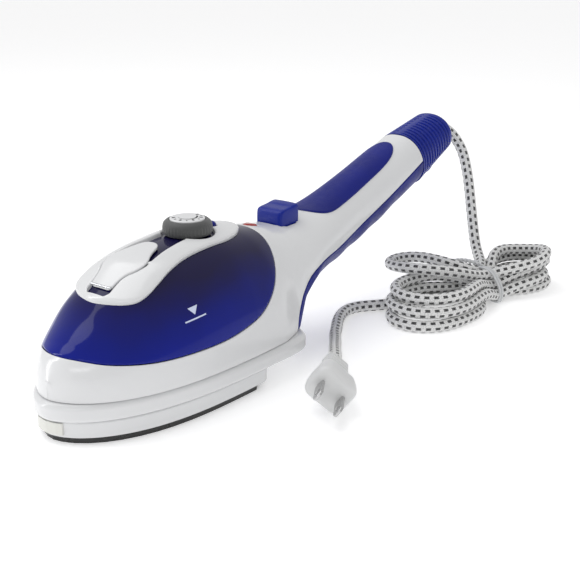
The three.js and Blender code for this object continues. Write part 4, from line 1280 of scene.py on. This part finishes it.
tie_pieces = []
for k, offset in enumerate((-1.0, 1.1)):
    line = evenly(tie_line(offset), 0.8)
    tie_pieces.append(tube(f"tie_wrap_{k}", line, 0.85, 10, tie_plastic))
for k in range(2):
    turns = np.linspace(0, 1, 60)
    tail = []
    for t in turns:
        twist = 2 * math.pi * 3.5 * t
        tail.append(np.array(from_hank(
            -2 - 14 * t + 0.9 * math.cos(twist + k * math.pi), TIE_STATION - 11 * t,
            22.0 + 2.2 * math.sin(2.6 * t) + 0.9 * math.sin(twist + k * math.pi))))
    tie_pieces.append(tube(f"tie_tail_{k}", tail, 0.8, 8, tie_plastic))
for piece in tie_pieces:
    finish_piece(piece, "steamer", "cord_tie_white")
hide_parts("cord_tie")

cord_piece = tube("mains_cord", cord_line, CORD_DIAMETER / 2, 20, braid)
finish_piece(cord_piece, "steamer", "cord_braid", "cord_drop", "cord_hank", "cord_lead")

# ---- fill level mark ------------------------------------------------------------------
def side_mark(outline):
    def value(s, a):
        p = body_point(s, a)
        d = outline_distance(outline, p[:, 1], p[:, 2])
        return np.where((np.cos(a) > 0) & (np.sin(a) > 0), d, -np.abs(d) - 5)
    return value


LEVEL_LINE = [(60.8, 49.9), (74.0, 51.1), (74.0, 51.8), (60.8, 50.6)]
LEVEL_ARROW = [(64.4, 56.0), (70.6, 56.6), (67.6, 52.6)]
for mark_name, outline in (("level_line", LEVEL_LINE), ("level_arrow", LEVEL_ARROW)):
    mark = shell(mark_name, side_mark(outline), 90, 1500, 58, 77, mark_pale, offset=0.06,
                 roll=0.02, depth=0.05, clearance=0.0)
    finish_piece(mark, "steamer", "blue_tank")

# ---- setting --------------------------------------------------------------------------
def area_light(name, place, target, size, power, colour=(1, 1, 1)):
    light = bpy.data.lights.new(name, "AREA")
    light.shape = "RECTANGLE"
    light.size, light.size_y = size
    light.energy = power
    light.color = colour
    holder = bpy.data.objects.new(name, light)
    bpy.context.scene.collection.objects.link(holder)
    holder.location = place
    direction = Vector(target) - Vector(place)
    holder.rotation_euler = direction.to_track_quat("-Z", "Y").to_euler()
    return holder


floor_mesh = bpy.data.meshes.new("floor")
floor_mesh.from_pydata([(-6, -6, 0), (6, -6, 0), (6, 6, 0), (-6, 6, 0)], [], [(0, 1, 2, 3)])
floor = bpy.data.objects.new("floor", floor_mesh)
bpy.context.scene.collection.objects.link(floor)
floor_material, floor_shader, floor_tree = new_material(
    "floor_pale", (0.95, 0.95, 0.955), 0.55, Emission_Color=(1, 1, 1, 1), Emission_Strength=0.3)
floor_mesh.materials.append(floor_material)

world = bpy.data.worlds.new("world")
bpy.context.scene.world = world
world.use_nodes = True
world.node_tree.nodes["Background"].inputs["Color"].default_value = (1, 1, 1, 1)
world.node_tree.nodes["Background"].inputs["Strength"].default_value = 0.66
area_light("key_soft", (-0.35, -0.1, 0.95), (0.02, 0, 0.03), (0.7, 0.9), 3.6)
area_light("side_strip", (-0.75, -0.75, 0.42), (0, -0.08, 0.04), (0.12, 0.9), 2.2)
area_light("front_strip", (0.35, -1.0, 0.5), (0, -0.1, 0.05), (0.5, 0.16), 0.8)
bpy.context.scene.view_settings.view_transform = "Standard"
